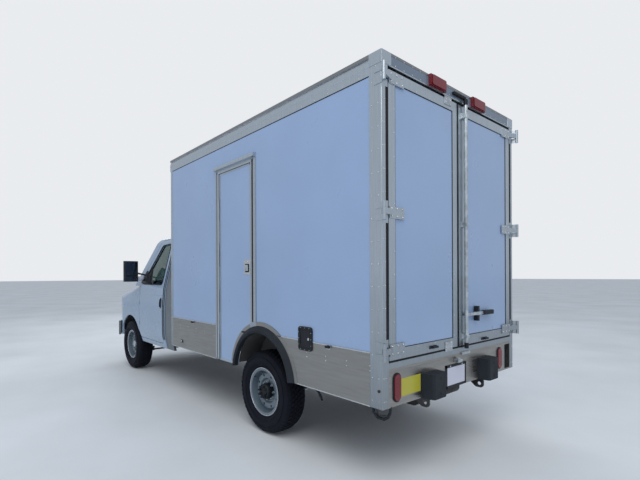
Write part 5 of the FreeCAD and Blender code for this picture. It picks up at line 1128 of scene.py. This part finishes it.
def lamp_details():
    """Reflectors, lens ribs and amber corner lenses of the head lamps."""
    for side, out in SIDES:
        near, far = sorted((out * 0.585, out * 0.775))
        reflector = patch(lamp_point, (out * 0.680, 0.895), (0.190, 0.210), (1, 0, 0), 0.002)
        piece("head_lamp_reflector_" + side, reflector, "bright_steel", smooth=True)
        ribs = [tube_mesh([lamp_point(y, z) + Vector((0.002, 0, 0)) for z in steps(0.800, 0.990, 0.03)],
                          0.0028, 6) for y in steps(near + 0.012, far - 0.012, 0.012)]
        piece("head_lamp_ribs_" + side, merged(ribs), "clear_lens", smooth=True)
        corner = patch(lamp_point, (out * 0.825, 0.890), (0.070, 0.240), (1, 0, 0), 0.003)
        piece("corner_lens_" + side, corner, "amber_lens", smooth=True)


def radiator():
    """Core behind the grille's slots."""
    x = FRONT_X + 0.600
    ends = [((x, -0.36, z), (x + 0.030, 0.36, z + 0.004)) for z in steps(0.72, 1.02, 0.010)]
    ends += [((x + 0.004, y, 0.70), (x + 0.026, y + 0.003, 1.04)) for y in steps(-0.36, 0.357, 0.03)]
    ends += [((x - 0.004, y, 0.69), (x + 0.034, y + 0.03, 1.05)) for y in (-0.39, 0.36)]
    ends += [((x - 0.002, -0.39, z), (x + 0.032, 0.39, z + 0.015)) for z in (0.69, 1.035)]
    boxes("radiator_core", ends, "axle_iron")


def dash_point(y, z):
    return surface("dashboard", (FRONT_X - 1.4, y, z), (1, 0, 0))


def dash_plate(name, middle, size, height, material, corner=0.01):
    outline = denser(rounded(rectangle(middle, size), corner), 0.03)
    piece(name, applied([dash_point(a, b) for a, b in outline], (-1, 0, 0), height), material, bevel=0.001)


def dash_knobs(name, places, lift, sizes, segments, material):
    """Round heads standing a little above the dashboard."""
    heads = merged(knob_mesh(dash_point(y, z) - Vector((lift, 0, 0)), (-1, 0, 0), *sizes, segments)
                   for y, z in places)
    piece(name, heads, material, smooth=True)


def dash_details():
    """Instruments, vents, radio and glove box lid on the dashboard."""
    dash_plate("instrument_panel", (DRIVER_Y, 1.305), (0.36, 0.075), 0.003, "seal_black", 0.02)
    dash_knobs("instrument_dials", [(DRIVER_Y + dy, 1.305) for dy in (-0.11, 0.0, 0.11)], 0.002,
               (0.030, 0.002, 0.003, 0.027), 28, "clear_lens")
    dash_plate("radio", (0.0, 1.165), (0.19, 0.060), 0.004, "black_plastic", 0.004)
    dash_plate("heater_panel", (0.0, 1.085), (0.19, 0.070), 0.004, "black_plastic", 0.004)
    for name, y in (("outer_left", 0.74), ("inner_left", 0.19), ("inner_right", -0.19),
                    ("outer_right", -0.74)):
        dash_plate("dash_vent_" + name, (y, 1.185), (0.10, 0.060), 0.003, "black_plastic", 0.008)
        slats = []
        for z in steps(1.163, 1.207, 0.011):
            x = dash_point(y, z).x
            slats.append(((x - 0.007, y - 0.043, z - 0.0015), (x - 0.002, y + 0.043, z + 0.0015)))
        boxes("dash_vent_slats_" + name, slats, "dash_plastic")
    dash_plate("glove_box_lid", (-0.47, 1.110), (0.36, 0.15), 0.004, "dash_plastic", 0.02)
    dash_knobs("heater_knobs", [(y, 1.085) for y in (-0.06, 0.0, 0.06)], 0.004,
               (0.010, 0.010, 0.012, 0.008), 20, "dash_plastic")


def cab_inside():
    """Pedals below the dashboard and the mirror above it."""
    for name, y, width in (("brake", DRIVER_Y - 0.03, 0.085), ("throttle", DRIVER_Y - 0.16, 0.050)):
        x = FRONT_X - 0.640
        pad = rounded(rectangle((y, 0.895), (width, 0.070)), 0.010)
        parts = [prism_mesh([(x + 0.4 * (b - 0.895), a, b) for a, b in pad], (0.012, 0, 0.004)),
                 tube_mesh([(x + 0.012, y, 0.90), (x + 0.050, y, 0.96), (x + 0.095, y, 1.06)], 0.008, 10)]
        piece(name + "_pedal", merged(parts), "black_rubber", bevel=0.001)
    mirror = rounded(rectangle((0.0, 1.865), (0.24, 0.065)), 0.02)
    x = FRONT_X - 0.860
    piece("inside_mirror", cross_slab(mirror, x, 0.022), "black_plastic", bevel=0.004)
    glass_face = [(a * 0.93, 1.865 + (b - 1.865) * 0.82) for a, b in mirror]
    piece("inside_mirror_glass", cross_slab(glass_face, x - 0.001, 0.002), "mirror_glass")


def steering_details():
    """Padded boss on the steering wheel and its stalk."""
    pivot = joint_at["steering_wheel_turn"]
    along = Vector((-0.935286, 0.0, 0.353892))
    boss = lathe_mesh([(0.0, 0.070), (0.014, 0.068), (0.022, 0.050), (0.024, 0.0)], pivot, along, 40)
    piece("steering_wheel_boss", boss, "dash_plastic", "driver_steering_wheel", smooth=True)
    root = pivot - along * 0.10
    stalk = tube_mesh([root, root + Vector((0.0, 0.07, 0.02)), root + Vector((-0.01, 0.17, 0.05))], 0.006)
    piece("indicator_stalk", stalk, "black_plastic", smooth=True)


def spring_clamps():
    """U-bolts and plates that clamp the rear springs to the axle."""
    parts = []
    for y in (0.478, -0.478):
        for x in (REAR_X - 0.048, REAR_X + 0.048):
            parts += [rod_mesh((x, y + dy, AXLE_Z - 0.062), (x, y + dy, AXLE_Z + 0.118), 0.006, 10)
                      for dy in (-0.0385, 0.0385)]
            parts.append(box_mesh((x - 0.006, y - 0.044, AXLE_Z + 0.0955),
                                  (x + 0.006, y + 0.044, AXLE_Z + 0.1065)))
        parts.append(box_mesh((REAR_X - 0.062, y - 0.044, AXLE_Z - 0.056),
                              (REAR_X + 0.062, y + 0.044, AXLE_Z - 0.044)))
    piece("rear_spring_clamps", merged(parts), "zinc_steel")


# Seats

def seat_start():
    """One seat's parts from the CAD, a little smaller, ready to swell."""
    mesh = frame["nodes"]["seats"].data.copy()
    work = bmesh.new()
    work.from_mesh(mesh)
    bmesh.ops.delete(work, geom=[v for v in work.verts if v.co.y < 0], context="VERTS")
    work.to_mesh(mesh)
    work.free()
    mesh.materials.clear()
    thing = bpy.data.objects.new("seat_pads", mesh)
    bpy.context.scene.collection.objects.link(thing)
    bpy.context.view_layer.objects.active = thing
    thing.select_set(True)
    remesh = thing.modifiers.new("remesh", "REMESH")
    remesh.mode = "VOXEL"
    remesh.voxel_size = 0.011
    shrink = thing.modifiers.new("shrink", "DISPLACE")
    shrink.strength = -0.009
    shrink.mid_level = 0.0
    bpy.ops.object.modifier_apply(modifier="remesh")
    bpy.ops.object.modifier_apply(modifier="shrink")
    return thing


def swell(thing, cap):
    """Blow the pads up a little as cloth, holding each point within cap of its start."""
    start = [v.co.copy() for v in thing.data.vertices]
    cloth_pad = thing.modifiers.new("cloth", "CLOTH")
    cloth_pad.settings.use_pressure = True
    cloth_pad.settings.uniform_pressure_force = 4.0
    cloth_pad.settings.effector_weights.gravity = 0.0
    scene = bpy.context.scene
    for step in range(1, 16):
        scene.frame_set(step)
    bpy.ops.object.modifier_apply(modifier="cloth")
    scene.frame_set(1)
    for vertex, before in zip(thing.data.vertices, start):
        move = vertex.co - before
        if move.length > cap:
            vertex.co = before + move * (cap / move.length)


def sew(thing):
    """Pull the cover in along the side seams and two channels of each pad."""
    mesh = thing.data
    mesh.update()
    normals = [v.normal.copy() for v in mesh.vertices]
    for vertex, normal in zip(mesh.vertices, normals):
        across = vertex.co.y - DRIVER_Y
        pull = 0.0
        for line, depth in ((-0.150, 0.006), (-0.052, 0.004), (0.052, 0.004), (0.150, 0.006)):
            pull += depth * math.exp(-((across - line) / 0.009) ** 2)
        vertex.co -= normal * pull


def seat_pads():
    """Both seats' cushions, backrests and headrests."""
    thing = seat_start()
    swell(thing, 0.010)
    sew(thing)
    copy = bmesh.new()
    copy.from_mesh(thing.data)
    doubled = bmesh.ops.duplicate(copy, geom=copy.verts[:] + copy.edges[:] + copy.faces[:])
    moved = [g for g in doubled["geom"] if isinstance(g, bmesh.types.BMVert)]
    bmesh.ops.translate(copy, verts=moved, vec=(0, -2 * DRIVER_Y, 0))
    copy.to_mesh(thing.data)
    copy.free()
    thing.data.materials.append(made["seat_cloth"])
    thing.data.shade_smooth()
    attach(thing, "chassis")
    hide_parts("seats")


def build_all():
    make_camera()
    make_light()
    make_materials()
    dress_nodes()
    seat_pads()
    for axle in ("front", "rear"):
        for side in ("left", "right"):
            road_wheel(axle, side)
    for part in (side_fasteners, roof_trim, header_trim, skirt_trim, door_arch_trim, side_door_screws,
                 paddle_lock, side_door_fittings, side_hinge, side_jambs, fuel_door, skirt_fittings,
                 rear_door_trim, rear_portal_fasteners, rear_lamps, rear_plates, dock_bumper_holes,
                 lock_gear, rear_door_fittings, window_sails, window_seals, panel_creases, wipers,
                 door_handles, cab_edge_lines, mirror_details, lamp_details, radiator, dash_details,
                 cab_inside, steering_details, spring_clamps):
        part()


def make_floor():
    shader = Shader("floor", (0.72, 0.76, 0.79), 0.7)
    shader.tinted(0.06, 0.6)
    reach = 150.0
    mesh = bpy.data.meshes.new("floor")
    mesh.from_pydata([(-reach, -reach, 0), (reach, -reach, 0), (reach, reach, 0), (-reach, reach, 0)], [],
                     [(0, 1, 2, 3)])
    floor = bpy.data.objects.new("floor", mesh)
    mesh.materials.append(shader.material)
    bpy.context.scene.collection.objects.link(floor)


bpy.context.scene.view_settings.view_transform = "Standard"
build_all()
make_floor()
